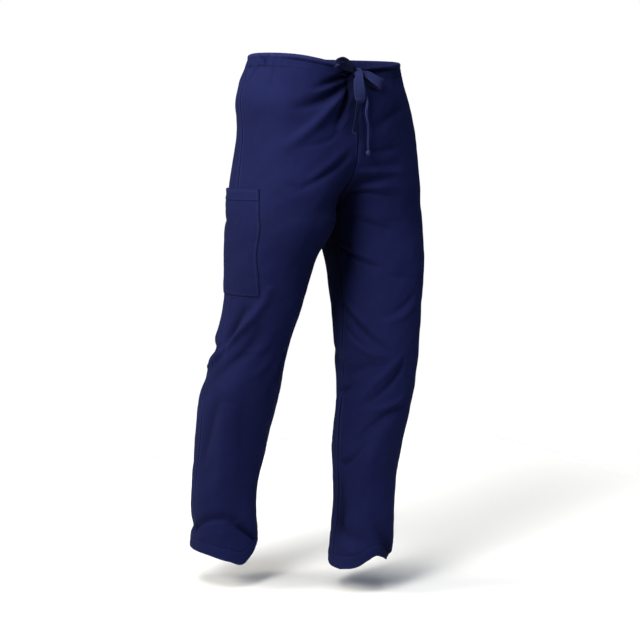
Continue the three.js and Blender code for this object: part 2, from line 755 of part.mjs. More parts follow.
// Tapes from the knot: centre, part of the full width that is spread, and the way the width faces
const tapeRows = {
  loop_right: [
    { x: -7.5, y: -2, z: 3.4, part: 0.3, lean: 84, out: 30 },
    { x: -17, y: -5.5, z: 10.5, part: 0.58, lean: 98, out: 46 },
    { x: -28, y: -7, z: 18.5, part: 0.74, lean: 101, out: 50 },
    { x: -38, y: -7, z: 25, part: 0.8, lean: 100, out: 48 },
    { x: -45, y: -4.5, z: 26.5, part: 0.8, lean: 96, out: 40 },
    { x: -51, y: -0.5, z: 23, part: 0.8, lean: 90, out: 30 },
    { x: -52, y: 2.5, z: 17, part: 0.8, lean: 84, out: 20 },
    { x: -44, y: 4.5, z: 12, part: 0.78, lean: 86, out: 10 },
    { x: -31, y: 4.5, z: 8, part: 0.68, lean: 86, out: 4 },
    { x: -20, y: 4, z: 4.5, part: 0.54, lean: 86, out: 0 },
    { x: -9, y: 2.6, z: 1, part: 0.34, lean: 86, out: 0 },
  ],
  loop_left: [
    { x: 8.4, y: -2.5, z: -0.5, part: 0.34, lean: 84, out: 8 },
    { x: 18, y: -6, z: -5, part: 0.7, lean: 78, out: 12 },
    { x: 31, y: -8.5, z: -13, part: 0.92, lean: 72, out: 16 },
    { x: 43, y: -8, z: -20, part: 1, lean: 68, out: 12 },
    { x: 52, y: -3, z: -24, part: 1, lean: 66, out: 0 },
    { x: 51, y: 2.5, z: -24, part: 1, lean: 68, out: -5 },
    { x: 39, y: 3.5, z: -19, part: 0.92, lean: 74, out: -5 },
    { x: 23, y: 2, z: -11, part: 0.7, lean: 80, out: 0 },
    { x: 9.4, y: 2.2, z: -3.2, part: 0.34, lean: 86, out: 0 },
  ],
  end_right: [
    { x: 0.5, y: -7.8, z: 4.5, part: 0.5, lean: 0, out: 10 },
    { x: -0.5, y: -9.5, z: -5, part: 0.74, lean: 2, out: 18 },
    { x: -2.5, y: -9.5, z: -18, part: 1, lean: 5, out: 22 },
    { x: -2, y: -9, z: -36, part: 1, lean: 7, out: 18 },
    { x: -1, y: -7, z: -50, part: 1, lean: 13, out: 8 },
    { x: -2, y: -6, z: -61, part: 0.86, lean: 15, out: -16 },
    { x: -5, y: -6, z: -75, part: 0.76, lean: 8, out: -26 },
    { x: -9, y: -6.5, z: -90, part: 0.74, lean: 6, out: -24 },
    { x: -13, y: -7, z: -104, part: 0.74, lean: 4, out: -20 },
    { x: -16, y: -8, z: -117, part: 0.78, lean: 2, out: -16 },
  ],
  end_left: [
    { x: 3.4, y: -0.8, z: -7.6, part: 0.24, lean: 0, out: 0 },
    { x: 9, y: -3, z: -20, part: 0.25, lean: 0, out: 10 },
    { x: 14, y: -5, z: -38, part: 0.24, lean: 0, out: 20 },
    { x: 16.5, y: -6, z: -56, part: 0.22, lean: 0, out: 20 },
    { x: 13.5, y: -6.5, z: -78, part: 0.22, lean: 0, out: 10 },
    { x: 18.5, y: -7, z: -102, part: 0.22, lean: 0, out: 20 },
    { x: 17.5, y: -7.5, z: -126, part: 0.22, lean: 0, out: 20 },
    { x: 18, y: -8, z: -147, part: 0.2, lean: 0, out: 20 },
  ],
};
const tapeThick = { loop_right: 1, loop_left: 1, end_right: 1, end_left: 2.2 };

function tapeSections(rows, steps) {
  const keyed = rows.map((row, k) => ({ ...row, k }));
  const sections = [];
  for (let k = 0; k < rows.length - 1; k += 1) {
    for (let s = 0; s < steps; s += 1) {
      sections.push(tapeAt(keyed, k + s / steps));
    }
  }
  sections.push(tapeAt(keyed, rows.length - 1));
  return sections;
}

function tapeAt(keyed, place) {
  const section = {};
  for (const value of ["x", "y", "z", "part", "lean", "out"]) {
    section[value] = curve(keyed, "k", place, value);
  }
  return section;
}

function makeTape(rows, thick) {
  const sections = tapeSections(rows, 3);
  const centres = sections.map((row) => new THREE.Vector3(row.x, row.y, row.z).add(knotCentre));
  const rings = centres.map((centre, k) => {
    const before = centres[Math.max(0, k - 1)];
    const after = centres[Math.min(centres.length - 1, k + 1)];
    const along = after.clone().sub(before).normalize();
    const { lean, out, part } = sections[k];
    const across = new THREE.Vector3(
      Math.cos(lean * deg) * Math.cos(out * deg),
      -Math.sin(out * deg),
      Math.sin(lean * deg) * Math.cos(out * deg),
    );
    across.addScaledVector(along, -across.dot(along)).normalize();
    const face = new THREE.Vector3().crossVectors(along, across).multiplyScalar((thick * tapeThickness) / 2);
    const reach = across.multiplyScalar((part * tapeWidth) / 2);
    return [
      centre.clone().add(reach).add(face),
      centre.clone().sub(reach).add(face),
      centre.clone().sub(reach).sub(face),
      centre.clone().add(reach).sub(face),
    ];
  });
  return makeSweep(rings);
}

for (const [name, rows] of Object.entries(tapeRows)) {
  add(`tie_${name}`, makeTape(rows, tapeThick[name]), navyTape);
}

// Small knot at the end of the left tape
const endRow = tapeRows.end_left[tapeRows.end_left.length - 1];
const endKnot = { halfWidth: 4.6, halfDepth: 4.6, halfHeight: 5.5, gap: 0.4 };
const endCentre = new THREE.Vector3(endRow.x, endRow.y, endRow.z - endKnot.halfHeight - endKnot.gap);
const endPlace = endCentre.add(knotCentre);
add("tie_end_knot", roundLump(endPlace, endKnot.halfWidth, endKnot.halfDepth, endKnot.halfHeight, 10, 6), navyTape);

export default trousers;
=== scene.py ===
import math
import bpy
import numpy as np
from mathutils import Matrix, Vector


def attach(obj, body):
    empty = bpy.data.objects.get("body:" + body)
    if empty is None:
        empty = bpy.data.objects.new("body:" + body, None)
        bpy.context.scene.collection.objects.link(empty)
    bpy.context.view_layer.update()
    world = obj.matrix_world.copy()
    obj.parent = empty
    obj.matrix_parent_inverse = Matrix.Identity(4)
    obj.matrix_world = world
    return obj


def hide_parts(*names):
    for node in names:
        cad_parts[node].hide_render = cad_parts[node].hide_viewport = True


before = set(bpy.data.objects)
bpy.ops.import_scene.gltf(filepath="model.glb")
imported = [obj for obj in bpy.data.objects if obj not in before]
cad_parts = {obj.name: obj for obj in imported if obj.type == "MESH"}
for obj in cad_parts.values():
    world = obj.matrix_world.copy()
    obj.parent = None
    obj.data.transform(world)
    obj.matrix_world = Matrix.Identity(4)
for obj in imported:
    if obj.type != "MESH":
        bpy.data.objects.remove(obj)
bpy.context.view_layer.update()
deg = math.pi / 180
metre = 0.001      # the tables below are in millimetres
sideSign = {"right": -1, "left": 1}
print("frame loaded with", len(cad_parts), "solids")

# camera at the photograph's angle
cameraSettings = {
    "azimuth": -35,
    "elevation": 8,
    "target": (-0.002, 0.008, -0.506),
    "distance": 3.6,
    "lens": 101.25,
}


def placeCamera(settings):
    turn, rise = settings["azimuth"] * deg, settings["elevation"] * deg
    back = Vector((math.sin(turn) * math.cos(rise), -math.cos(turn) * math.cos(rise), math.sin(rise)))
    lens = bpy.data.cameras.new("studioCamera")
    lens.lens = settings["lens"]
    lens.sensor_width = 36
    camera = bpy.data.objects.new("studioCamera", lens)
    camera.location = Vector(settings["target"]) + back * settings["distance"]
    camera.rotation_mode = "QUATERNION"
    camera.rotation_quaternion = (-back).to_track_quat("-Z", "Y")
    bpy.context.scene.collection.objects.link(camera)
    bpy.context.scene.camera = camera


placeCamera(cameraSettings)


# tables: a row for each height or place, read along the first column with a smooth curve
def readTable(columns, rows):
    data = np.array(rows, float)
    return {name: data[:, k] for k, name in enumerate(columns)}


formColumns = ("z", "cx", "cy", "inner", "outer", "front", "back", "turn")
crotchZ = -302
roundness = 2.25
trunkRows = [
    (40, 0, -6, 60, 160, 106, 115, 0),
    (0, 0, -6, 60, 161, 106, 118, 0),
    (-28, 0, -6, 70, 170, 108, 130, 0),
    (-60, 3, -6, 90, 177, 116, 133, 0),
    (-120, 12, -6, 108, 173, 121, 138, 0),
    (-180, 30, -6, 112, 161, 123, 144, 0),
    (-235, 62, -6, 104, 136, 123, 143, 0),
    (-280, 88, -6, 97, 115, 115, 133, 0),
    (crotchZ, 96, -6, 96, 108, 114, 127, 0),
]
legRows = {
    "right": [
        (-380, 117, 12, 77, 85, 104, 106, 8),
        (-460, 120, 33, 70, 74, 95, 97, 12),
        (-560, 133, 63, 65, 67, 86, 84, 9),
        (-660, 143, 93, 71, 72, 85, 87, 4),
        (-760, 147, 116, 66, 69, 75, 77, 1),
        (-870, 156, 133, 62, 64, 68, 69, 0),
        (-950, 153, 138, 64, 65, 69, 67, 0),
        (-1004, 153, 138, 65, 66, 69, 67, 0),
    ],
    "left": [
        (-380, 100, -26, 84, 92, 107, 109, 6),
        (-460, 95, -42, 75, 81, 98, 98, 10),
        (-560, 86, -58, 71, 73, 91, 89, 12),
        (-660, 81, -60, 65, 67, 79, 79, 12),
        (-760, 68, -54, 60, 62, 72, 72, 12),
        (-870, 61, -50, 54, 56, 63, 63, 12),
        (-950, 55, -50, 57, 59, 67, 65, 12),
        (-1004, 53, -50, 58, 59, 68, 65, 12),
    ],
}
meanLeg = [(a + b) / 2 for a, b in zip(legRows["right"][0], legRows["left"][0])]
meanLeg[2], meanLeg[7] = -6, 0
sharedForm = readTable(formColumns, trunkRows + [tuple(meanLeg)])
wholeForm = {side: readTable(formColumns, trunkRows + legRows[side]) for side in sideSign}

middleForm = readTable(("z", "sway", "drift", "sink"), [
    (40, 4, 0, 0),
    (-20, -2, 0, 0),
    (-60, -2, -4, 1),
    (-120, 7, -10, 7),
    (-180, 7, -12, 9),
    (-235, 4, -11, 19),
    (-280, 2, -5, 18),
    (crotchZ, 2, 0, 0),
    (-1004, 2, 0, 0),
])
middleReach = 34

# seams round each leg, in degrees from its inner side towards the front
seamForm = readTable(("z", "inRight", "outRight", "inLeft", "outLeft"), [
    (40, 0, 188, 0, 178),
    (crotchZ, 0, 188, 0, 178),
    (-380, 0, 188, -6, 178),
    (-560, -2, 188, -24, 174),
    (-760, -4, 188, -24, 172),
    (-1004, -4, 186, -22, 172),
])
edgeForm = {
    "right": readTable(("at", "height"), [(90, -8), (120, 7), (150, 20), (180, 22), (205, 18), (270, 12)]),
    "left": readTable(("at", "height"), [(90, -8), (120, -3), (150, 2), (180, 6), (205, 8), (270, 12)]),
}
hemForm = {
    "right": readTable(("at", "height"), [
        (0, -968), (48, -966), (68, -981), (88, -999), (115, -990),
        (154, -979), (202, -976), (270, -980), (330, -972), (360, -968)]),
    "left": readTable(("at", "height"), [
        (0, -1003), (41, -991), (56, -979), (69, -971), (84, -976), (99, -984),
        (115, -978), (180, -985), (270, -990), (330, -1002), (360, -1003)]),
}
edgeFade = 150
hemFade = 110
hemLevel = 985
casingDepth = 25
casingTab = 8


def ease(value):
    t = np.clip(value, 0, 1)
    return t * t * (3 - 2 * t)


def curve(table, key, place, value):
    xs, ys = table[key], table[value]
    place = np.asarray(place, float)
    if xs[-1] < xs[0]:
        xs, place = -xs, -place
    place = np.clip(place, xs[0], xs[-1])
    span = np.diff(xs)
    rise = np.diff(ys) / span
    slope = np.empty(len(xs))
    slope[0], slope[-1] = rise[0], rise[-1]
    slope[1:-1] = (rise[:-1] * span[1:] + rise[1:] * span[:-1]) / (span[:-1] + span[1:])
    i = np.clip(np.searchsorted(xs, place, side="right") - 1, 0, len(xs) - 2)
    h = span[i]
    t = (place - xs[i]) / h
    s = 1 - t
    ends = (1 + 2 * t) * s * s * ys[i] + t * t * (3 - 2 * t) * ys[i + 1]
    return ends + t * s * h * (s * slope[i] - t * slope[i + 1])


def sectionAt(side, z):
    above = np.asarray(z) >= crotchZ
    return {
        name: np.where(above, curve(sharedForm, "z", z, name), curve(wholeForm[side], "z", z, name))
        for name in formColumns[1:]
    }


def seamAngle(section, half):
    centre = np.maximum(0, section["cx"])
    reach = np.clip(centre / section["inner"], 0, 1)
    forward = half * (1 - reach ** roundness) ** (1 / roundness)
    return np.arctan2(forward, centre) / deg


# folds of the worn cloth: a valley is positive and a ridge negative
# each runs from (at, z) through (midAt, midZ) to (toAt, toZ), in degrees and mm
# above and below are its half widths, start, middle and end its depths
creaseShare = 0.38
creaseReach = 0.75
fullShadeDepth = 16
foldColumns = ("at", "z", "midAt", "midZ", "toAt", "toZ", "above", "below", "start", "middle", "end")
foldRows = {
    "right": [
        (96, -20, 119, -34, 133, -46, 8, 5, 12, 11, 1.5),
        (104, -34, 121, -44, 132, -52, 5, 5, -2, -3, -0.5),
        (98, -38, 120, -63, 145, -82, 12, 7, 15, 15, 2),
        (101, -44, 122, -94, 146, -150, 11, 11, -7, -10, -2.5),
        (96, -52, 104, -87, 110, -117, 10, 6, 14, 14, 2),
        (97, -99, 101, -114, 105, -126, 4, 4, -1, -2, -0.6),
        (107, -129, 119, -146, 139, -153, 9, 5, 2, 3.5, 0.6),
        (92, -159, 107, -188, 126, -224, 11, 9, -1, -3.2, -1.4),
        (90, -180, 107, -208, 127, -232, 16, 9, 3.5, 6, 3.2),
        (91, -264, 90, -326, 72, -420, 30, 26, 2, 3.5, 2),
        (177, 14, 172, 3, 168, -10, 4, 3, 3, 3.4, 1),
        (169, 14, 171, 4, 172, -8, 4, 3, 2.4, 2.6, 1),
        (176, -4, 181, -22, 186, -42, 3.4, 3, 2.6, 3, 0.6),
        (187, -3, 191, -18, 194, -33, 3.4, 3, 2.4, 3, 0.6),
        (110, -428, 134, -506, 204, -594, 9, 9, -4, -8, -7),
        (137, -474, 152, -514, 166, -556, 14, 9, 6, 9, 9),
        (111, -507, 124, -554, 171, -614, 11, 13, 3, 6, 2.5),
        (94, -518, 98, -543, 113, -561, 10, 8, -1.5, -3, -1),
        (106, -556, 119, -561, 132, -572, 6, 6, 1, 3, 1),
        (86, -566, 94, -586, 105, -606, 8, 8, -1, -2.4, -0.6),
        (62, -558, 64, -590, 72, -618, 7, 4, 4, 4.5, 2),
        (69, -561, 74, -586, 77, -609, 4, 4, -1, -2, -0.6),
        (75, -621, 76, -642, 72, -669, 7, 6, 1.5, 3, 0.8),
        (107, -626, 112, -693, 100, -804, 17, 17, 0.8, 3.6, 2),
        (145, -636, 141, -736, 130, -840, 16, 16, -1, -2.5, -1.5),
        (187, -934, 141, -906, 104, -910, 13, 4, 9, 6.5, 4),
        (100, -918, 84, -933, 58, -957, 10, 4, 5, 10, 10),
        (169, -945, 128, -930, 82, -946, 5, 9, -0.8, -1, -0.8),
        (74, -252, 66, -248, 58, -246, 6, 4, 3, 4, 3),
        (52, -256, 46, -290, 42, -345, 28, 26, 9, 17, 9),
        (214, -560, 238, -570, 264, -574, 13, 11, 10.8, 12.6, 5.4),
        (216, -586, 240, -596, 262, -598, 10, 10, -2.3, -4.6, -1.5),
        (150, -660, 163, -730, 176, -804, 18, 14, 4.5, 5.4, 1.8),
        (250, -900, 285, -920, 322, -936, 15, 10, 9, 9, 3.6),
        (200, -918, 222, -934, 246, -940, 13, 10, 3.6, 6.3, 1.8),
        (262, -262, 240, -284, 215, -302, 20, 15, 10.8, 9, 3.6),
        (276, -328, 256, -362, 234, -398, 16, 12, 9, 7.2, 1.8),
        (272, -352, 250, -392, 228, -430, 14, 12, -1.5, -3.8, -1.2),
        (226, -246, 214, -262, 200, -270, 14, 10, 1.8, 4.5, 0.9),
        (217, -525, 217, -548, 213, -574, 14, 15, -2, -4.5, -3),
        (230, -620, 210, -640, 190, -650, 14, 10, 1.8, 5.4, 1.1),
    ],
    "left": [
        (139, -84, 120, -100, 94, -130, 10, 9, 1, 3.5, 1.5),
        (89, -170, 105, -165, 122, -160, 8, 6, 1.5, 3, 0.6),
        (73, -196, 94, -194, 117, -190, 5, 4, 1, 2, 0.6),
        (71, -207, 93, -208, 121, -207, 6, 5, -1, -2.6, -0.8),
        (60, -238, 78, -225, 105, -218, 10, 7, 4, 7, 1),
        (58, -244, 77, -237, 107, -237, 4, 4, -0.6, -2, -0.6),
        (52, -256, 67, -246, 96, -258, 5.5, 3.6, 6, 7, 1),
        (39, -280, 51, -286, 62, -296, 6, 4, -0.6, -2, -0.5),
        (43, -298, 60, -309, 78, -320, 4.5, 3.5, 1, 2.6, 2),
        (14, -354, 35, -369, 54, -386, 7, 5, -1, -2.6, -0.6),
        (10, -360, 31, -380, 53, -393, 6, 4, 4, 5, 0.8),
        (67, -408, 77, -412, 89, -417, 6, 5, 0.8, 2.6, 1),
        (348, -458, 12, -490, 42, -522, 8, 6, -1.5, -3, -0.8),
        (344, -468, 16, -512, 59, -556, 8, 6, 3, 5, 2),
        (349, -526, 22, -556, 56, -566, 6, 6, -1, -2.8, -1),
        (347, -514, 4, -532, 22, -546, 5, 4, 2, 3, 0.8),
        (90, -453, 71, -477, 52, -489, 7, 5, 2.5, 3, 0.6),
        (92, -472, 72, -492, 50, -500, 6, 6, -1.6, -2.4, -0.6),
        (356, -610, 18, -592, 54, -584, 10, 9, 2.5, 4, 1),
        (330, -646, 346, -640, 9, -624, 9, 6, 5.5, 5.5, 0.8),
        (325, -664, 326, -694, 328, -750, 16, 18, -6, -6, -2),
        (75, -570, 57, -597, 20, -650, 7, 7, -2.5, -4.5, -1.5),
        (78, -576, 65, -620, 26, -664, 7, 5, 3, 6, 1),
        (86, -650, 65, -666, 31, -678, 6, 7, -2, -3.6, -0.8),
        (84, -668, 53, -692, 22, -738, 6, 13, 3.4, 4.5, 1.5),
        (74, -694, 59, -734, 48, -804, 14, 14, -1, -3, -1.5),
        (350, -790, 15, -777, 36, -748, 8, 4, 5, 4.5, 0.8),
        (341, -820, 354, -884, 347, -950, 11, 11, 1.5, 4, 2),
        (65, -903, 87, -944, 106, -980, 18, 11, 2, 7, 9),
        (24, -927, 30, -951, 27, -975, 9, 9, -0.5, -1.8, -0.8),
        (92, -14, 108, -18, 128, -12, 8, 6, 5, 6, 3),
        (300, -566, 322, -584, 345, -604, 12, 14, 3, 3.4, 2),
        (250, -560, 226, -558, 200, -547, 15, 11, 10.8, 9, 2.9),
        (252, -586, 228, -584, 206, -576, 12, 12, -2.1, -3.9, -1.5),
        (345, -910, 16, -930, 54, -941, 14, 11, 4, 4, 2),
        (350, -944, 18, -958, 50, -966, 12, 14, -2.1, -3.9, -1.5),
        (210, -903, 250, -926, 292, -936, 15, 10, 7.2, 9, 5.4),
        (216, -936, 250, -950, 284, -956, 12, 12, -1.5, -3.9, -1.5),
        (262, -268, 238, -290, 210, -308, 20, 15, 10.8, 9, 3.6),
        (280, -334, 260, -370, 240, -407, 16, 12, 9, 7.2, 1.8),
        (278, -360, 256, -398, 234, -434, 14, 12, -1.5, -3.6, -1.2),
        (222, -250, 208, -264, 192, -270, 14, 10, 1.8, 4.3, 0.9),
        (150, -300, 166, -330, 176, -372, 16, 16, 1.8, 3.6, 1.1),
    ],
}


# painted shade and painted shadow, darkened into the cloth colour: hollows round the knot and between the legs,
# shadows cast by the hanging tape and by the other leg, and the hems where less light falls; angle, height, half
# width in degrees, half height, strength
shadeRows = {
    "right": [
        (103, -28, 15, 22, 0.95),
        (96, -62, 8, 34, 0.6),
        (120, -940, 60, 60, 0.12),
        (70, -250, 22, 55, 0.6),
        (60, -340, 18, 70, 0.5),
        (52, -450, 18, 80, 0.3),
        (190, -560, 14, 16, 0.3),
    ],
    "left": [
        (88, -30, 10, 30, 0.5),
        (89, -52, 6, 34, 0.6),
        (84, -112, 5, 40, 0.6),
        (96, -50, 5, 30, 0.6),
        (20, -880, 60, 130, 0.28),
        (112, -14, 46, 15, 0.7),
        (8, -262, 44, 62, 1.6),
        (350, -340, 30, 80, 0.8),
        (346, -470, 16, 90, 0.35),
        (344, -900, 16, 60, 0.4),
        (98, -968, 18, 24, 0.6),
    ],
}


def wrap(angle):
    return (angle + 540) % 360 - 180


def bendOf(side, fold):
    start = np.array([0.0, fold["z"]])
    section = {k: float(v) for k, v in sectionAt(side, fold["midZ"]).items()}
    perDegree = (section["front"] + section["back"] + section["outer"]) / 3 * deg
    middle = np.array([wrap(fold["midAt"] - fold["at"]) * perDegree, fold["midZ"]])
    end = np.array([wrap(fold["toAt"] - fold["at"]) * perDegree, fold["toZ"]])
    pull = 2 * middle - (start + end) / 2
    t = np.linspace(0, 1, 9)[:, None]
    return (1 - t) ** 2 * start + 2 * t * (1 - t) * pull + t * t * end, perDegree


folds = {side: [dict(zip(foldColumns, row)) for row in rows] for side, rows in foldRows.items()}
foldPaths = {side: [bendOf(side, fold) for fold in folds[side]] for side in sideSign}


def foldPush(side, at, z):
    push = np.zeros(at.shape)
    for fold, (path, perDegree) in zip(folds[side], foldPaths[side]):
        x = wrap(at - fold["at"]) * perDegree
        reach = 3 * max(fold["above"], fold["below"])
        low, high = path.min(0) - reach, path.max(0) + reach
        near = (x > low[0]) & (x < high[0]) & (z > low[1]) & (z < high[1])
        if not near.any():
            continue
        px, pz = x[near], z[near]
        best = np.full(px.shape, 1e9)
        value = np.zeros(px.shape)
        for k in range(len(path) - 1):
            dx, dz = path[k + 1] - path[k]
            t = np.clip(((px - path[k, 0]) * dx + (pz - path[k, 1]) * dz) / (dx * dx + dz * dz), 0, 1)
            ax, az = px - path[k, 0] - t * dx, pz - path[k, 1] - t * dz
            away = np.hypot(ax, az)
            along = (k + t) / (len(path) - 1)
            width = np.where(az >= 0, fold["above"], fold["below"])
            depth = (1 - along) * (1 - 2 * along) * fold["start"] + 4 * along * (1 - along) * fold["middle"]
            depth += along * (2 * along - 1) * fold["end"]
            closer = away < best
            best = np.where(closer, away, best)
            # valleys are creased at the bottom, ridges are round
            shape = np.exp(-(away / width) ** 2)
            if fold["middle"] > 0:
                shape = (1 - creaseShare) * shape + creaseShare * np.exp(-away / (creaseReach * width))
            value = np.where(closer, depth * shape, value)
        push[near] -= value
    return push


# painted shade: the cloth colour is darkened in deep fold valleys and at the places listed in shadeRows
def deepShade(side, at, z):
    shade = np.clip(-foldPush(side, at, z) / fullShadeDepth, 0, 0.7)
    for place, height, wide, tall, strength in shadeRows[side]:
        shade = shade + strength * np.exp(-(wrap(at - place) / wide) ** 2 - ((z - height) / tall) ** 2)
    return np.clip(shade, 0, 1)


# soft unevenness of cloth: waves in all directions, from a fixed seed
rippleSettings = {
    "seed": 41,
    "layers": [
        {"count": 9, "long": 190, "short": 110, "height": 0.55},
        {"count": 12, "long": 80, "short": 42, "height": 0.2},
        {"count": 14, "long": 30, "short": 16, "height": 0.055},
    ],
}


def makeRipples(settings):
    dice = np.random.default_rng(settings["seed"])
    waves = []
    for layer in settings["layers"]:
        for _ in range(layer["count"]):
            way = dice.normal(size=3)
            way[2] *= 0.75
            way /= np.linalg.norm(way)
            length = dice.uniform(layer["short"], layer["long"])
            waves.append((way * 2 * math.pi / length, dice.uniform(0, 2 * math.pi), layer["height"]))
    return waves


ripples = makeRipples(rippleSettings)


def ripplePush(points):
    push = np.zeros(points.shape[:-1])
    for way, phase, height in ripples:
        push += height * np.sin(points @ way + phase)
    return push


# gathers where the tape draws the waist in: flat at the front, small pleats round the sides and back
gatherSettings = {
    "flat": {"right": 147, "left": 129},
    "spacing": 10.5,
    "depth": (1.6, 4.2),
    "width": (2.6, 4.6),
    "drop": (26, 120),
    "seed": 12,
}


def basePoint(side, at, z, push=0.0):
    section = sectionAt(side, z)
    c, s = np.cos(at * deg), np.sin(at * deg)
    across = np.where(c > 0, section["inner"], section["outer"])
    along = np.where(s > 0, section["front"], section["back"])
    radius = ((np.abs(c) / across) ** roundness + (np.abs(s) / along) ** roundness) ** (-1 / roundness) + push
    out, forward = -radius * c, radius * s
    turn = section["turn"] * deg
    x = section["cx"] + out * np.cos(turn) + forward * np.sin(turn)
    y = -section["cy"] - out * np.sin(turn) + forward * np.cos(turn)
    near = np.exp(-((at - seamAngle(section, section["front"])) / middleReach) ** 2)
    near = np.where((z > crotchZ) & (s > 0), near, 0)
    x = sideSign[side] * x + curve(middleForm, "z", z, "sway") + curve(middleForm, "z", z, "drift") * near
    y = -y + curve(middleForm, "z", z, "sink") * near
    return np.stack([x, y, np.broadcast_to(z, x.shape)], -1)


def edgeHeight(side, at):
    return curve(edgeForm[side], "at", np.clip((at + 720) % 360, 90, 270), "height")


def makeGathers(settings):
    dice = np.random.default_rng(settings["seed"])
    gathers = []
    for side in sideSign:
        at = settings["flat"][side]
        while at < 268:
            centre = basePoint(side, np.array([float(at)]), np.array([0.0]))[0]
            onset = float(ease((at - settings["flat"][side]) / 16 + 0.35))
            gathers.append((
                math.atan2(centre[1], centre[0]),
                dice.uniform(*settings["depth"]) * onset,
                dice.uniform(*settings["width"]),
                settings["drop"][0] + (settings["drop"][1] - settings["drop"][0]) * dice.uniform() ** 2,
                dice.uniform(-0.12, 0.12),
            ))
            at += settings["spacing"] * dice.uniform(0.7, 1.35) / (140 * deg)
    return gathers


gathers = makeGathers(gatherSettings)


def gatherPush(points, depth):
    turn = np.arctan2(points[..., 1], points[..., 0])
    radius = np.hypot(points[..., 0], points[..., 1])
    push = np.zeros(turn.shape)
    for centre, deep, wide, drop, lean in gathers:
        away = (((turn - centre - lean * np.maximum(0, depth) / 100 + math.pi) % (2 * math.pi)) - math.pi) * radius
        spread = wide * (1 + np.clip(depth, 0, 160) / 45)
        fade = (1 - ease(depth / drop)) * (0.45 + 0.55 * ease(depth / casingDepth))
        push -= deep * np.exp(-(away / spread) ** 2) * fade
        push += 0.42 * deep * np.exp(-(away / (2.2 * spread)) ** 2) * fade
    return push


# outer face of the cloth at an angle and height
def facePoint(side, at, z):
    at, z = np.broadcast_arrays(np.asarray(at, float), np.asarray(z, float))
    base = basePoint(side, at, z)
    push = foldPush(side, at, z) + ripplePush(base)
    depth = edgeHeight(side, at) - z
    upper = depth < 190
    if upper.any():
        gathered = np.zeros(push.shape)
        gathered[upper] = gatherPush(base[upper], depth[upper])
        push = push + gathered
    # folds of the other half carry on across the middle
    trunk = z > crotchZ
    if trunk.any():
        section = sectionAt(side, z)
        frontSeam = seamAngle(section, section["front"])
        backSeam = 360 - seamAngle(section, section["back"])
        place = (at + 720) % 360
        mirrored = np.where(place < 180, 2 * frontSeam - place, 2 * backSeam - place)
        other = "left" if side == "right" else "right"
        fromMiddle = np.abs(place - np.where(place < 180, frontSeam, backSeam))
        share = ease((z - crotchZ) / 30) * (1 - ease((fromMiddle - 22) / 34))
        push = push + np.where(trunk, foldPush(other, mirrored, z) * share, 0)
    return basePoint(side, at, z, push)


def faceNormal(side, at, z):
    a, b = facePoint(side, at - 0.4, z), facePoint(side, at + 0.4, z)
    c, d = facePoint(side, at, z - 0.9), facePoint(side, at, z + 0.9)
    normal = np.cross(b - a, d - c)
    normal /= np.linalg.norm(normal, axis=-1, keepdims=True)
    return normal * sideSign[side]


def heightAt(side, at, depth):
    top = edgeHeight(side, at) * (1 - ease((depth - casingDepth - casingTab) / edgeFade))
    drop = curve(hemForm[side], "at", (at + 720) % 360, "height") + hemLevel
    return top - depth + drop * ease((depth - hemLevel + hemFade) / hemFade)


def keepSide(side, points, gap):
    z = points[..., 2]
    drift = np.where(points[..., 1] < -6, curve(middleForm, "z", z, "drift"), 0)
    middle = curve(middleForm, "z", z, "sway") + drift
    away = np.maximum(gap, sideSign[side] * (points[..., 0] - middle))
    points[..., 0] = np.where(z >= crotchZ, middle + sideSign[side] * away, points[..., 0])
    return points


print("form tables read, with", len(gathers), "gathers")


# materials
def link(tree, fromNode, fromSocket, toNode, toSocket):
    tree.links.new(fromNode.outputs[fromSocket], toNode.inputs[toSocket])


def addNode(tree, kind, **values):
    node = tree.nodes.new(kind)
    for name, value in values.items():
        if hasattr(node, name):
            setattr(node, name, value)
        else:
            node.inputs[name.replace("_", " ")].default_value = value
    return node


def mathNode(tree, operation, first, second=None, clamp=False):
    node = tree.nodes.new("ShaderNodeMath")
    node.operation = operation
    node.use_clamp = clamp
    for k, value in enumerate((first, second)):
        if value is None:
            continue
        if isinstance(value, (int, float)):
            node.inputs[k].default_value = value
        else:
            tree.links.new(value, node.inputs[k])
    return node.outputs[0]


clothFinish = {
    "colour": (0.0041, 0.0055, 0.0295, 1),
    "worn": (0.016, 0.02, 0.08, 1),
    # seam: dark colour of seam lines, also used as the painted shade in folds, hollows and shadows
    "seam": (0.0004, 0.0006, 0.005, 1),
    "roughness": 0.86,
    "sheen": 0.012,
    "gloss": 0.03,
    "sheenTint": (0.4, 0.5, 0.95, 1),
    "threadPitch": 0.62,
    "weaveDepth": 0.00012,
    "slubDepth": 0.00016,
    "slub": 0.16,
    "fade": 0.14,
}
tapeFinish = {
    "colour": (0.0112, 0.014, 0.052, 1),
    "worn": (0.022, 0.026, 0.085, 1),
    # seam: dark colour of seam lines, also used as the painted shade where the tape lies in shadow
    "seam": (0.0012, 0.0016, 0.009, 1),
    "roughness": 0.74,
    "sheen": 0.03,
    "gloss": 0.05,
    "sheenTint": (0.35, 0.42, 1, 1),
    "threadPitch": 0.95,
    "weaveDepth": 0.00022,
    "slubDepth": 0.0001,
    "slub": 0.1,
    "fade": 0.08,
}
threadFinish = {
    "colour": (0.0052, 0.0068, 0.032, 1),
    "roughness": 0.85,
    "plyPitch": 0.45,
}


# noise from 0 to 1, as a factor that varies round 1
def aroundOne(tree, noise, amount):
    return mathNode(tree, "ADD", 1.0, mathNode(tree, "MULTIPLY", mathNode(tree, "SUBTRACT", noise, 0.5), amount * 4))
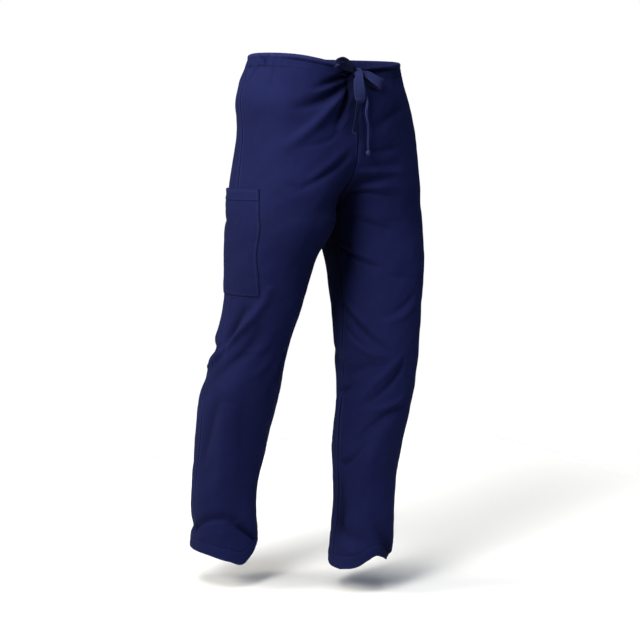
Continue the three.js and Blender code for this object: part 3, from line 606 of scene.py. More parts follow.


# woven cloth: warp and weft from the piece's own uv map in metres, wear, seam lines and painted shade from its
# attributes
def wovenMaterial(name, finish):
    material = bpy.data.materials.new(name)
    material.use_nodes = True
    tree = material.node_tree
    shader = tree.nodes["Principled BSDF"]
    shader.inputs["Roughness"].default_value = finish["roughness"]
    shader.inputs["Sheen Weight"].default_value = finish["sheen"]
    shader.inputs["Sheen Roughness"].default_value = 0.45
    shader.inputs["Sheen Tint"].default_value = finish["sheenTint"]
    shader.inputs["Specular IOR Level"].default_value = finish["gloss"]
    grain = addNode(tree, "ShaderNodeUVMap", uv_map="grain")
    perMetre = 1000 / finish["threadPitch"]
    warp = addNode(tree, "ShaderNodeTexWave", wave_type="BANDS", bands_direction="X", Scale=perMetre / 20 * math.pi)
    weft = addNode(tree, "ShaderNodeTexWave", wave_type="BANDS", bands_direction="Y", Scale=perMetre / 20 * math.pi)
    for wave in (warp, weft):
        wave.inputs["Distortion"].default_value = 2.2
        wave.inputs["Detail"].default_value = 1.5
        wave.inputs["Detail Scale"].default_value = 1.4
        link(tree, grain, 0, wave, "Vector")
    weave = mathNode(tree, "MULTIPLY", warp.outputs["Fac"], weft.outputs["Fac"])
    slubs = []
    for stretch in ((900, 70, 1), (60, 760, 1)):
        lay = addNode(tree, "ShaderNodeMapping")
        lay.inputs["Scale"].default_value = stretch
        link(tree, grain, 0, lay, "Vector")
        noise = addNode(tree, "ShaderNodeTexNoise", Scale=1.0, Detail=3.0, Roughness=0.6)
        link(tree, lay, 0, noise, "Vector")
        slubs.append(noise.outputs["Fac"])
    slub = mathNode(tree, "ADD", mathNode(tree, "MULTIPLY", slubs[0], 0.5), mathNode(tree, "MULTIPLY", slubs[1], 0.5))
    place = addNode(tree, "ShaderNodeTexCoord")
    broad = addNode(tree, "ShaderNodeTexNoise", Scale=7.0, Detail=4.0, Roughness=0.55)
    link(tree, place, "Object", broad, "Vector")
    crumple = addNode(tree, "ShaderNodeTexNoise", Scale=42.0, Detail=5.0, Roughness=0.6)
    link(tree, place, "Object", crumple, "Vector")
    wear = addNode(tree, "ShaderNodeAttribute", attribute_name="wear")
    groove = addNode(tree, "ShaderNodeAttribute", attribute_name="groove")
    # colour: yarn by yarn variation, slow fading, paler worn edges, and darker seam lines and painted shade from the
    # groove attribute
    shade = aroundOne(tree, slub, finish["slub"])
    fade = aroundOne(tree, broad.outputs["Fac"], finish["fade"])
    dip = mathNode(tree, "ADD", 0.86, mathNode(tree, "MULTIPLY", weave, 0.28))
    level = mathNode(tree, "MULTIPLY", mathNode(tree, "MULTIPLY", shade, fade), dip)
    tone = addNode(tree, "ShaderNodeMix", data_type="RGBA", blend_type="MULTIPLY")
    tone.inputs[0].default_value = 1
    tone.inputs[6].default_value = finish["colour"]
    tree.links.new(level, tone.inputs[7])
    rubbed = addNode(tree, "ShaderNodeMix", data_type="RGBA")
    patches = mathNode(tree, "ADD", 0.35, crumple.outputs["Fac"])
    rub = mathNode(tree, "MULTIPLY", wear.outputs["Fac"], patches, clamp=True)
    tree.links.new(rub, rubbed.inputs[0])
    tree.links.new(tone.outputs[2], rubbed.inputs[6])
    rubbed.inputs[7].default_value = finish["worn"]
    seamLinesAndPaintedShade = addNode(tree, "ShaderNodeMix", data_type="RGBA")
    tree.links.new(mathNode(tree, "MULTIPLY", groove.outputs["Fac"], 0.8, clamp=True), seamLinesAndPaintedShade.inputs[0])
    tree.links.new(rubbed.outputs[2], seamLinesAndPaintedShade.inputs[6])
    seamLinesAndPaintedShade.inputs[7].default_value = finish["seam"]
    tree.links.new(seamLinesAndPaintedShade.outputs[2], shader.inputs["Base Color"])
    # relief: weave, slubs, then the soft crumple of washed cloth
    relief = None
    for height, depth, strength in (
        (weave, finish["weaveDepth"], 0.7),
        (slub, finish["slubDepth"], 0.8),
        (crumple.outputs["Fac"], 0.0011, 0.5),
    ):
        bump = addNode(tree, "ShaderNodeBump", Strength=strength, Distance=depth)
        tree.links.new(height, bump.inputs["Height"])
        if relief is not None:
            tree.links.new(relief, bump.inputs["Normal"])
        relief = bump.outputs["Normal"]
    tree.links.new(relief, shader.inputs["Normal"])
    return material


def threadMaterial(name, finish):
    material = bpy.data.materials.new(name)
    material.use_nodes = True
    tree = material.node_tree
    shader = tree.nodes["Principled BSDF"]
    shader.inputs["Roughness"].default_value = finish["roughness"]
    shader.inputs["Specular IOR Level"].default_value = 0.05
    place = addNode(tree, "ShaderNodeTexCoord")
    bandScale = 1000 / finish["plyPitch"] / 20 * math.pi
    ply = addNode(tree, "ShaderNodeTexWave", wave_type="BANDS", bands_direction="DIAGONAL", Scale=bandScale)
    link(tree, place, "Object", ply, "Vector")
    ramp = addNode(tree, "ShaderNodeMix", data_type="RGBA", blend_type="MULTIPLY")
    ramp.inputs[0].default_value = 1
    ramp.inputs[6].default_value = finish["colour"]
    tree.links.new(mathNode(tree, "ADD", 0.7, mathNode(tree, "MULTIPLY", ply.outputs["Fac"], 0.5)), ramp.inputs[7])
    tree.links.new(ramp.outputs[2], shader.inputs["Base Color"])
    bump = addNode(tree, "ShaderNodeBump", Strength=0.5, Distance=0.00008)
    tree.links.new(ply.outputs["Fac"], bump.inputs["Height"])
    tree.links.new(bump.outputs["Normal"], shader.inputs["Normal"])
    return material


navyCloth = wovenMaterial("navyCloth", clothFinish)
navyTape = wovenMaterial("navyTape", tapeFinish)
navyThread = threadMaterial("navyThread", threadFinish)
print("materials made")


# meshes
def addPiece(name, points, faces, material, nodes=(), uv=None, marks=None):
    points = np.asarray(points, float)
    faces = np.asarray(faces)
    tri = faces[:, [0, 1, 2]]
    volume = np.einsum("ij,ij->i", points[tri[:, 0]], np.cross(points[tri[:, 1]], points[tri[:, 2]])).sum()
    if faces.shape[1] == 4:
        tri = faces[:, [0, 2, 3]]
        volume += np.einsum("ij,ij->i", points[tri[:, 0]], np.cross(points[tri[:, 1]], points[tri[:, 2]])).sum()
    if volume < 0:
        faces = faces[:, ::-1]
    mesh = bpy.data.meshes.new(name)
    # a face that names a corner twice becomes a triangle
    corners = [[v for k, v in enumerate(face) if v not in face[:k]] for face in faces.tolist()]
    mesh.from_pydata((points * metre).tolist(), [], corners)
    mesh.polygons.foreach_set("use_smooth", np.ones(len(mesh.polygons), bool))
    corner = np.zeros(len(mesh.loops), int)
    mesh.loops.foreach_get("vertex_index", corner)
    if uv is not None:
        layer = mesh.uv_layers.new(name="grain")
        layer.data.foreach_set("uv", (np.asarray(uv, float)[corner] * metre).ravel().astype(np.float32))
    for mark, values in (marks or {}).items():
        attribute = mesh.attributes.new(mark, "FLOAT", "POINT")
        attribute.data.foreach_set("value", np.asarray(values, np.float32).ravel())
    mesh.materials.append(material)
    mesh.update()
    piece = bpy.data.objects.new(name, mesh)
    bpy.context.scene.collection.objects.link(piece)
    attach(piece, "root")
    if nodes:
        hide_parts(*nodes)
    return piece


def edgeLoop(rows, columns):
    top = [(0, j) for j in range(columns)]
    far = [(i, columns - 1) for i in range(1, rows)]
    bottom = [(rows - 1, j) for j in range(columns - 2, -1, -1)]
    near = [(i, 0) for i in range(rows - 2, 0, -1)]
    return np.array(top + far + bottom + near)


# thin closed shell from an outer and an inner grid, with a rounded rim all round
def addShell(name, outer, inner, rim, material, nodes, uv, marks):
    rows, columns = outer.shape[:2]
    index = np.arange(rows * columns).reshape(rows, columns)
    a, b, c, d = index[:-1, :-1], index[1:, :-1], index[1:, 1:], index[:-1, 1:]
    front = np.stack([a, b, c, d], -1).reshape(-1, 4)
    back = front[:, ::-1] + rows * columns
    loop = edgeLoop(rows, columns)
    i, j = loop[:, 0], loop[:, 1]
    inwardI, inwardJ = np.clip(i, 1, rows - 2), np.clip(j, 1, columns - 2)
    away = outer[i, j] - outer[inwardI, inwardJ]
    away /= np.linalg.norm(away, axis=1, keepdims=True)
    middle = (outer[i, j] + inner[i, j]) / 2 + away * rim[i, j][:, None]
    base = 2 * rows * columns
    ring = base + np.arange(len(loop))
    over, under = index[i, j], index[i, j] + rows * columns
    after = np.roll(np.arange(len(loop)), -1)
    upper = np.stack([over, over[after], ring[after], ring], -1)
    lower = np.stack([ring, ring[after], under[after], under], -1)
    points = np.concatenate([outer.reshape(-1, 3), inner.reshape(-1, 3), middle])
    faces = np.concatenate([front, back, upper[:, ::-1], lower[:, ::-1]])
    flatUv = uv.reshape(-1, 2)
    allUv = np.concatenate([flatUv, flatUv, uv[i, j]])
    allMarks = {}
    for mark, grid in marks.items():
        flat = grid.reshape(-1)
        allMarks[mark] = np.concatenate([flat, flat * 0.3, grid[i, j]])
    return addPiece(name, points, faces, material, nodes, allUv, allMarks)


def surfaceArea(grid):
    a = grid[1:, :-1] - grid[:-1, :-1]
    b = grid[:-1, 1:] - grid[:-1, :-1]
    return float(np.linalg.norm(np.cross(a, b), axis=-1).sum()) * metre * metre


def arcLengths(points):
    steps = np.linalg.norm(np.diff(points, axis=-2), axis=-1)
    return np.concatenate([np.zeros(steps.shape[:-1] + (1,)), np.cumsum(steps, -1)], -1)


# trouser panels, front and back of each leg
panelSettings = {
    "wall": 1.3,
    "gap": 0.12,
    "rowStep": 3.5,
    "columnCount": 78,
    "seamEdges": (0, 0.7, 1.5, 2.6, 4.2, 6.4, 9.5),
    "seamDip": 1.0,
    "seamDipWidth": 1.5,
    "hemDepth": 25,
    "hemWall": 2.5,
    "flat": {"front": (0.31, 1.02), "back": (0.36, 1.05)},
}


def panelDepths(settings):
    hemLine = hemLevel - settings["hemDepth"]
    fine = np.array([0, 0.6, 1.2, 2, 3.2, 5])
    start = casingDepth + 0.15
    steady = np.arange(start + 8, hemLine - 7, settings["rowStep"])
    hem = np.linspace(hemLine + 6.5, hemLevel - 4, 6)
    last = hemLevel - np.array([2.6, 1.3, 0.5, 0])
    return np.concatenate([start + fine, steady, hemLine - fine[::-1], hemLine + fine[1:], hem, last])


def seamAngles(side, z, isFront):
    section = sectionAt(side, z)
    name = side.capitalize()
    inseam = curve(seamForm, "z", z, "in" + name)
    outseam = curve(seamForm, "z", z, "out" + name)
    seam = seamAngle(section, section["front" if isFront else "back"])
    split = panelSettings["gap"] / 80 / deg
    low = inseam + split if isFront else split - inseam
    begin = np.where(z < crotchZ, low, np.maximum(seam, split))
    start = begin if isFront else -begin
    end = outseam - split if isFront else outseam + split - 360
    return start, end


def panelGrid(side, isFront, settings):
    depths = panelDepths(settings)
    start, end = seamAngles(side, -depths, isFront)
    share = np.linspace(0, 1, 41)
    coarse = start[:, None] + (end - start)[:, None] * share
    lengths = arcLengths(basePoint(side, coarse, heightAt(side, coarse, depths[:, None])))
    edges = np.array(settings["seamEdges"], float)
    at = np.empty((len(depths), settings["columnCount"] + 2 * len(edges)))
    across = np.empty(at.shape)
    for k in range(len(depths)):
        whole = lengths[k, -1]
        middle = np.linspace(edges[-1], whole - edges[-1], settings["columnCount"] + 2)[1:-1]
        places = np.concatenate([edges, middle, whole - edges[::-1]])
        at[k] = np.interp(places, lengths[k], coarse[k])
        across[k] = places
    return depths[:, None], at, across, lengths[:, -1:]


def addPanel(side, isFront, name, node, settings):
    depths, at, across, whole = panelGrid(side, isFront, settings)
    z = heightAt(side, at, depths)
    face = facePoint(side, at, z)
    normal = faceNormal(side, at, z)
    hemLine = hemLevel - settings["hemDepth"]
    fromSeam = np.minimum(across, whole - across)
    width = settings["seamDipWidth"]
    groove = np.exp(-(fromSeam / width) ** 2)
    gathered = ease((at - gatherSettings["flat"][side]) / 14)
    casingLine = np.exp(-((depths - casingDepth) / 1.3) ** 2) * (0.15 + 0.45 * gathered)
    hemStitch = np.exp(-((depths - hemLine) / 1.1) ** 2) * np.ones(at.shape)
    # puckers along sewn seams and the hem
    seamPucker = np.sin(depths / 2.7 + np.sin(depths / 11.0) * 2) * np.exp(-fromSeam / 5) * (1 - groove)
    inHem = ease((depths - hemLine + 3) / 4)
    rope = np.sin((across + 0.8 * (depths - hemLine)) / 2.1 + 1.5 * np.sin(across / 17)) * inHem
    push = -settings["seamDip"] * groove - 0.75 * casingLine - 0.5 * hemStitch
    push = push + 0.22 * seamPucker + 0.16 * rope + 0.3 * inHem * (1 - hemStitch)
    outer = face + normal * push[..., None]
    thick = settings["wall"] + (settings["hemWall"] - settings["wall"]) * inHem
    # the turned hem closes in a rounded fold
    fold = np.clip((depths - hemLevel + 2.6) / 2.6, 0, 1)
    tuck = 1 - np.sqrt(np.maximum(0, 1 - fold ** 2))
    outer = outer - normal * (tuck * thick * 0.32)[..., None]
    inner = face + normal * (push - thick + tuck * thick * 0.32)[..., None]
    trunk = depths[:, 0] <= -crotchZ
    keepSide(side, outer, settings["gap"])
    keepSide(side, inner, settings["gap"])
    drift = curve(middleForm, "z", outer[:, 0, 2], "drift") if isFront else 0
    middle = curve(middleForm, "z", outer[:, 0, 2], "sway") + drift + sideSign[side] * settings["gap"]
    outer[trunk, 0, 0] = middle[trunk]
    rim = np.full(at.shape, 0.05)
    rim[-1, 1:-1] = 0.5
    direction = 1 if isFront else -1
    uv = np.stack([direction * (across - whole / 2), -depths * np.ones(at.shape)], -1)
    wear = 0.3 * np.exp(-np.maximum(0, hemLevel - depths) / 1.6) + 0.26 * np.exp(-((fromSeam - 3.4) / 1.6) ** 2)
    wear = wear + 0.08 * np.exp(-((depths - hemLine - 3) / 1.8) ** 2)
    lines = np.clip(groove + 0.3 * hemStitch + 0.6 * casingLine, 0, 1)
    # painted shade: fold valleys, hollows and shadows darken the groove mark and keep the pale wear out
    shade = deepShade(side, at, z)
    marks = {"wear": wear * (1 - shade), "groove": np.clip(lines + shade, 0, 1)}
    piece = addShell(name, outer, inner, rim, navyCloth, (node,), uv, marks)
    return piece, surfaceArea(outer)


panels = {}
for side in sideSign:
    for part in ("front", "back"):
        name = side + part.capitalize() + "Panel"
        piece, area = addPanel(side, part == "front", name, f"{part}_{side}", panelSettings)
        panels[name] = piece
        print(name, "made, cloth area", round(area, 3))


# waist casing: the edge turned down inside as a tunnel for the tape
casingSettings = {
    "wall": 1.3,
    "room": 4.2,
    "slit": 4.2,
    "frontReach": 106,
    "meanReach": 132,
    "stitchDown": 25,
    "tabOff": 2.0,
    "angleStep": 0.75,
    "profileSteps": 4,
    "roll": 1.5,
    "pucker": 0.55,
    "puckerPitch": 6.4,
    "flat": (0.51, 0.06),
}


def casingProfile(settings):
    wall, room = settings["wall"], settings["room"]
    middle, under, deep, tab = wall + room / 2, wall + room, 2 * wall + room, settings["tabOff"]
    rows = [
        (0, 25, -wall, 25),
        (0, 18, -wall, 18),
        (0, 11, -wall, 11),
        (0, 5.5, -wall, 5.8),
        (-0.1, 3, -wall, 3.6),
        (-0.9, 1, -wall - 0.5, 2.1),
        (-middle, 0, -middle, wall),
        (0.9 - deep, 1, 0.5 - under, 2.1),
        (0.1 - deep, 3, -under, 3.6),
        (-deep, 11, -under, 11),
        (-deep, 20, -under, 19.6),
        (-tab - wall - 0.8, 24.6, -tab - 0.6, 23.9),
        (-tab - wall, 27, -tab, 27),
        (-tab - wall, 33, -tab, 33),
    ]
    columns = ("off", "down", "underOff", "underDown")
    keyed = readTable(("k",) + columns, [(k,) + row for k, row in enumerate(rows)])
    places = np.linspace(0, len(rows) - 1, (len(rows) - 1) * settings["profileSteps"] + 1)
    return {name: curve(keyed, "k", places, name) for name in columns}


def casingAngles(side, settings):
    front, back = (seamAngles(side, np.array([0.0]), isFront)[0] for isFront in (True, False))
    start = front[0] + settings["slit"] / settings["frontReach"] / deg
    end = back[0] + 360
    return np.linspace(start, end, int((end - start) / settings["angleStep"]))


def casingPoint(side, at, off, down):
    z = edgeHeight(side, at) - down
    normal = faceNormal(side, at, z)
    normal[..., 2] = 0
    normal /= np.linalg.norm(normal, axis=-1, keepdims=True)
    return keepSide(side, facePoint(side, at, z) + normal * off[..., None], 0.12), normal


def addCasing(side, name, node, settings):
    profile = casingProfile(settings)
    at = casingAngles(side, settings)[:, None] * np.ones(len(profile["off"]))
    down, off = profile["down"] * np.ones(at.shape), profile["off"] * np.ones(at.shape)
    underDown, underOff = profile["underDown"] * np.ones(at.shape), profile["underOff"] * np.ones(at.shape)
    across = at * deg * settings["meanReach"]
    fromLine = down - settings["stitchDown"]
    gathered = ease((at - gatherSettings["flat"][side]) / 14)
    outside = np.arange(at.shape[1])[None, :] <= 7 * settings["profileSteps"]
    # narrow roll along the fold at the smooth front, and fine puckers towards the stitch line
    roll = settings["roll"] * (np.exp(-((down - 4.5) / 3.2) ** 2) - 0.9 * np.exp(-((down - 10.2) / 1.6) ** 2))
    roll = roll * (1 - 0.7 * gathered) * outside
    pucker = np.sin(across / settings["puckerPitch"] * 2 * math.pi + 2.2 * np.sin(across / 23) + down * 0.05)
    pucker = settings["pucker"] * pucker * ease((down - 8) / 12) * (0.3 + 0.7 * gathered)
    pucker = pucker * outside * (1 - np.exp(-(fromLine / 1.2) ** 2))
    line = np.exp(-(fromLine / 1.3) ** 2) * (off > -1) * (0.15 + 0.45 * gathered)
    outer, _ = casingPoint(side, at, off + roll + pucker - 0.75 * line, down)
    inner, _ = casingPoint(side, at, underOff + roll + pucker - 0.75 * line, underDown)
    rim = np.full(at.shape, 0.05)
    rim[:, -1] = 0.4
    rim[0, :] = 0.4
    uv = np.stack([across, -down - np.maximum(0, -off)], -1)
    # painted shade in the casing's folds and hollows, and a painted shadow line under the rolled top edge
    shade = deepShade(side, at, edgeHeight(side, at) - down) * outside
    paintedShadowUnderRoll = 0.9 * np.exp(-((down - 10.4) / 1.3) ** 2) * outside * (1 - gathered)
    marks = {
        "wear": 0.4 * np.exp(-((down - 4.2) / 3) ** 2) * outside * (1 - shade),
        "groove": np.clip(shade + 0.6 * line + paintedShadowUnderRoll, 0, 1),
    }
    piece = addShell(name, outer, inner, rim, navyCloth, (node,), uv, marks)
    return piece, surfaceArea(outer)


for side in sideSign:
    name = side + "Casing"
    piece, area = addCasing(side, name, f"casing_{side}", casingSettings)
    print(name, "made, cloth area", round(area, 4))


# thigh pocket: patch with its top hem turned in, sewn down on three sides
pocketSettings = {
    "width": 176,
    "tilt": 7,
    "wall": 1.1,
    "hem": 22,
    "hemWall": 2.2,
    "lift": 0.35,
    "belly": 0.9,
    "mouth": 1.7,
    "edges": (0, 0.6, 1.2, 2, 3, 4.4, 6.4),
    "columnCount": 50,
    "flat": (0.2, 0.245),
}
pocketForm = readTable(("z", "frontAt"), [(-234, 160), (-282, 152.7), (-339, 143.2), (-398, 126.8), (-441, 119.7)])


def pocketPlaces(settings, whole, count):
    edges = np.array(settings["edges"], float)
    middle = np.linspace(edges[-1], whole - edges[-1], count + 2)[1:-1]
    return np.concatenate([edges, middle, whole - edges[::-1]])


def pocketPoint(across, down, off, settings):
    height = pocketForm["z"][0] - down
    frontAt = curve(pocketForm, "z", height, "frontAt")
    share = across / settings["width"]
    z = height - settings["tilt"] * share
    at = frontAt + share * pocketTurn(height, settings)
    return facePoint("right", at, z) + faceNormal("right", at, z) * off[..., None]


def pocketTurn(height, settings):
    key = np.linspace(pocketForm["z"][0], pocketForm["z"][-1], 12)
    turns = []
    for z in key:
        at = float(curve(pocketForm, "z", z, "frontAt")) + np.arange(0, 130, 0.5)
        lengths = arcLengths(basePoint("right", at, np.full(at.shape, z)))
        turns.append(np.interp(settings["width"], lengths, at - at[0]))
    return np.interp(-height, -key, turns)


def addPocket(settings):
    deep = pocketForm["z"][0] - pocketForm["z"][-1]
    downs = pocketPlaces(settings, deep, 56)
    hem = settings["hem"]
    downs = np.unique(np.round(np.concatenate([downs, hem + np.array([-2, -1, -0.4, 0, 0.4, 1, 2])]), 3))
    across = pocketPlaces(settings, settings["width"], settings["columnCount"])[None, :] * np.ones((len(downs), 1))
    down = downs[:, None] * np.ones(across.shape)
    side = np.minimum(across, settings["width"] - across)
    sewn = np.minimum(side, deep - down)
    inside = ease(sewn / 16)
    mouth = settings["mouth"] * ease(side / 30) * (1 - ease(down / 70))
    sewLine = np.exp(-((sewn - 2) / 0.8) ** 2) * (sewn < 8)
    hemLine = np.exp(-((down - hem) / 0.8) ** 2)
    inHem = 1 - ease((down - hem + 0.5) / 1)
    pucker = 0.16 * np.sin((across + down) / 2.3 + 1.7 * np.sin((across - down) / 14)) * np.exp(-sewn / 6)
    lift = settings["lift"] + settings["belly"] * inside + mouth + pucker
    thick = settings["wall"] + (settings["hemWall"] - settings["wall"]) * inHem
    roundOff = np.clip(1 - sewn / 1.2, 0, 1) ** 2 + np.clip(1 - down / 1.2, 0, 1) ** 2
    outerOff = lift + thick - 0.3 * sewLine - 0.25 * hemLine - 0.3 * thick * roundOff
    outer = pocketPoint(across, down, outerOff, settings)
    inner = pocketPoint(across, down, lift - 0.1 * sewLine, settings)
    rim = np.full(across.shape, 0.35)
    uv = np.stack([across - settings["width"] / 2, -down], -1)
    wear = 0.16 * np.exp(-((np.minimum(side, np.minimum(down, deep - down)) - 4) / 1.6) ** 2)
    wear = wear + 0.1 * np.exp(-((down - hem + 3) / 1.6) ** 2)
    # faint dark stitch lines, and painted shade along the sewn-down outer edges of the pocket
    groove = np.clip(0.15 * sewLine + 0.12 * hemLine + 0.9 * np.exp(-(sewn / 0.9) ** 2), 0, 1)
    marks = {"wear": wear, "groove": groove}
    piece = addShell("thighPocket", outer, inner, rim, navyCloth, ("cargo_pocket",), uv, marks)
    return piece, surfaceArea(outer)


pocket, area = addPocket(pocketSettings)
print("pocket made, cloth area", round(area, 4))


# drawstring: tape in the casing, knot, two loops and two free ends
tapeSettings = {
    "width": 22,
    "thickness": 1.2,
    "inCasing": 16,
    "tunnelTop": 4.2,
    "around": 20,
    "steps": 7,
    "knot": (-5, -123.5, -15),
    "knotHalf": (8, 7, 8),
}
# the shade column paints shade into the tape colour where a loop or end lies in shadow, from 0 unshaded to 1 fully
# dark
tapeColumns = ("x", "y", "z", "part", "lean", "out", "shade")
tapeRows = {
    "loopRight": [
        (-7.5, -2, 3.4, 0.3, 84, 44, 0.95),
        (-16.5, -5.5, 9, 0.5, 98, 66, 1),
        (-26, -7, 16.5, 0.6, 101, 72, 1),
        (-34.5, -7, 23, 0.62, 100, 72, 1),
        (-41.5, -4.5, 25, 0.62, 96, 58, 0.9),
        (-47, -0.5, 21, 0.6, 90, 30, 0.35),
        (-49.5, 2.5, 14, 0.6, 84, 14, 0),
        (-43, 4.2, 13, 0.6, 86, 16, 0.75),
        (-33, 4.2, 12, 0.62, 86, 18, 1),
        (-21, 3.6, 8, 0.56, 86, 22, 1),
        (-9, 2.6, 2, 0.3, 86, 44, 1),
    ],
    "loopLeft": [
        (8.4, -2.5, -0.5, 0.34, 84, 0, 0.45),
        (18, -6, -4.5, 0.66, 78, -12, 0.05),
        (31, -8.5, -12.5, 0.92, 72, -20, 0),
        (44, -8, -19.5, 1, 68, -18, 0),
        (54, -3, -23, 1, 66, -6, 0),
        (53, 2.5, -23, 1, 68, -5, 0.3),
        (40, 3.5, -18.5, 0.92, 74, -5, 0.4),
        (23, 2, -10.5, 0.7, 80, 0, 0.4),
        (9.4, 2.2, -3.2, 0.34, 86, 0, 0.5),
    ],
    "endRight": [
        (-1.5, -7.8, 4.5, 0.44, 0, 10, 0.1),
        (-4, -9.5, -5, 0.6, 2, 18, 0),
        (-6, -9.5, -18, 0.9, 6, 22, 0),
        (-3.5, -9, -36, 1, 7, 18, 0.05),
        (-1, -7, -50, 0.98, 14, 8, 0.1),
        (-3, -6, -59, 0.82, 16, -16, 0.7),
        (-6, -6, -73, 0.7, 8, -26, 0.85),
        (-9, -6.5, -89, 0.68, 6, -24, 0.85),
        (-12, -7, -101, 0.68, 4, -22, 0.85),
        (-14.5, -8, -112, 0.72, 2, -20, 0.8),
    ],
    "endLeft": [
        (3.4, -0.8, -7.6, 0.155, 0, 0, 0.3),
        (9, -3, -20, 0.155, 0, 10, 0.1),
        (14, -5, -38, 0.155, 0, 20, 0),
        (16.5, -6, -56, 0.15, 0, 20, 0),
        (13.5, -6.5, -78, 0.15, 0, 10, 0),
        (18.5, -7, -102, 0.15, 0, 20, 0),
        (17.5, -7.5, -126, 0.15, 0, 20, 0),
        (18, -8, -147, 0.15, 0, 20, 0),
    ],
}
tapeCords = {
    "loopRight": {"node": "tie_loop_right", "thick": 1, "diameter": 0.016, "farEnd": "object", "lay": "loose"},
    "loopLeft": {"node": "tie_loop_left", "thick": 1, "diameter": 0.0168, "farEnd": "object", "lay": "loose"},
    "endRight": {"node": "tie_end_right", "thick": 1, "diameter": 0.019, "farEnd": "bare", "lay": "hanging"},
    "endLeft": {"node": "tie_end_left", "thick": 1.9, "diameter": 0.0045, "farEnd": "knot", "lay": "hanging"},
}


# mesh swept through rings of points, closed at both ends
def addSweep(name, rings, material, nodes, uv, marks=None):
    count, around = rings.shape[:2]
    index = np.arange(count * around).reshape(count, around)
    after = np.roll(index, -1, axis=1)
    sides = np.stack([index[:-1], index[1:], after[1:], after[:-1]], -1).reshape(-1, 4)
    points = np.concatenate([rings.reshape(-1, 3), rings[:1].mean(1), rings[-1:].mean(1)])
    first, last = count * around, count * around + 1
    start = np.stack([index[0], after[0], np.full(around, first), np.full(around, first)], -1)
    end = np.stack([after[-1], index[-1], np.full(around, last), np.full(around, last)], -1)
    faces = np.concatenate([sides, start, end])
    allUv = np.concatenate([uv.reshape(-1, 2), uv[0].mean(0)[None], uv[-1].mean(0)[None]])
    allMarks = {k: np.concatenate([v.reshape(-1), [0, 0]]) for k, v in (marks or {}).items()}
    return addPiece(name, points, faces, material, nodes, allUv, allMarks)


def tapeSection(half, thick):
    turn = np.linspace(0, 2 * math.pi, tapeSettings["around"], endpoint=False)
    c, s = np.cos(turn), np.sin(turn)
    u = np.sign(c) * np.abs(c) ** 0.35 * half
    v = np.sign(s) * np.abs(s) ** 0.6 * thick / 2
    return u, v


def addTape(name, rows, cord):
    keyed = readTable(("k",) + tapeColumns, [(k,) + row for k, row in enumerate(rows)])
    places = np.linspace(0, len(rows) - 1, (len(rows) - 1) * tapeSettings["steps"] + 1)
    at = {value: curve(keyed, "k", places, value) for value in tapeColumns}
    centres = np.stack([at["x"], at["y"], at["z"]], -1) + tapeSettings["knot"]
    along = np.gradient(centres, axis=0)
    along /= np.linalg.norm(along, axis=1, keepdims=True)
    lean, out = at["lean"] * deg, at["out"] * deg
    across = np.stack([np.cos(lean) * np.cos(out), -np.sin(out), np.sin(lean) * np.cos(out)], -1)
    across -= along * (across * along).sum(1, keepdims=True)
    across /= np.linalg.norm(across, axis=1, keepdims=True)
    face = np.cross(along, across)
    travel = arcLengths(centres)
    rings, uv, wear = [], [], []
    for k in range(len(places)):
        half = at["part"][k] * tapeSettings["width"] / 2
        u, v = tapeSection(half, cord["thick"] * tapeSettings["thickness"])
        # a narrowed tape buckles into soft lengthwise pleats
        pleat = (1 - at["part"][k]) * 1.3 * np.cos(u / max(half, 1) * 4.2 + travel[k] / 26)
        selvedge = 0.25 * np.exp(-((np.abs(u) - half) / 0.9) ** 2) * np.sign(v)
        rings.append(centres[k] + across[k] * u[:, None] + face[k] * (v + pleat + selvedge)[:, None])
        uv.append(np.stack([u / max(at["part"][k], 0.2), np.full(u.shape, travel[k])], -1))
        wear.append(0.55 * np.exp(-((np.abs(u) - half) / 0.7) ** 2))
    # painted shade from the shade column, which also keeps the pale wear off the shaded tape
    shade = at["shade"][:, None] * np.ones((1, tapeSettings["around"]))
    marks = {"wear": np.array(wear) * (1 - shade), "groove": shade}
    piece = addSweep(name, np.array(rings), navyTape, (cord["node"],), np.array(uv), marks)
    return piece, centres, travel[-1], across, face


def roundLump(centre, half, around, rows, pleats):
    tilt = np.linspace(0, math.pi, rows + 1)[1:-1, None]
    turn = np.linspace(0, 2 * math.pi, around, endpoint=False)[None, :]
    flat = np.sin(tilt) ** 0.8
    way = np.stack([flat * np.cos(turn), flat * np.sin(turn), np.cos(tilt) * np.ones(turn.shape)], -1)
    # wraps of tape over the knot, as grooves that cross it at a slant
    groove = np.zeros(way.shape[:2])
    for pull, offset, depth in pleats:
        place = way @ np.array(pull) - offset
        groove += depth * np.exp(-(place / 0.13) ** 2)
    points = np.array(centre) + way * np.array(half) * (1 - groove)[..., None]
    return points, groove


knotSettings = {
    "size": (56, 36),
    "pleats": [
        ((0.9, 0.2, 0.5), -0.42, 0.16),
        ((0.9, 0.1, -0.45), 0.3, 0.15),
        ((0.2, 0.4, 1), 0.05, 0.1),
        ((1, 0, 0.1), 0.02, 0.08),
    ],
    "endSize": (32, 22),
    "endHalf": (4.6, 4.6, 5.5),
    "endGap": 0.4,
    "endPleats": [((0.7, 0.2, 0.9), 0.15, 0.18), ((0.8, 0.3, -0.7), -0.2, 0.16)],
}


def addLump(name, centre, half, pleats, node, size):
    points, groove = roundLump(centre, half, size[0], size[1], pleats)
    rows, around = points.shape[:2]
    uPlaces, vPlaces = np.linspace(0, 2 * math.pi * half[0], around), np.linspace(0, math.pi * half[2], rows)
    uv = np.stack(np.meshgrid(uPlaces, vPlaces), -1)
    # painted shade in the grooves between the wraps of the knot, with less pale wear there
    return addSweep(name, points, navyTape, (node,), uv, {"wear": 0.25 - groove, "groove": groove * 4})


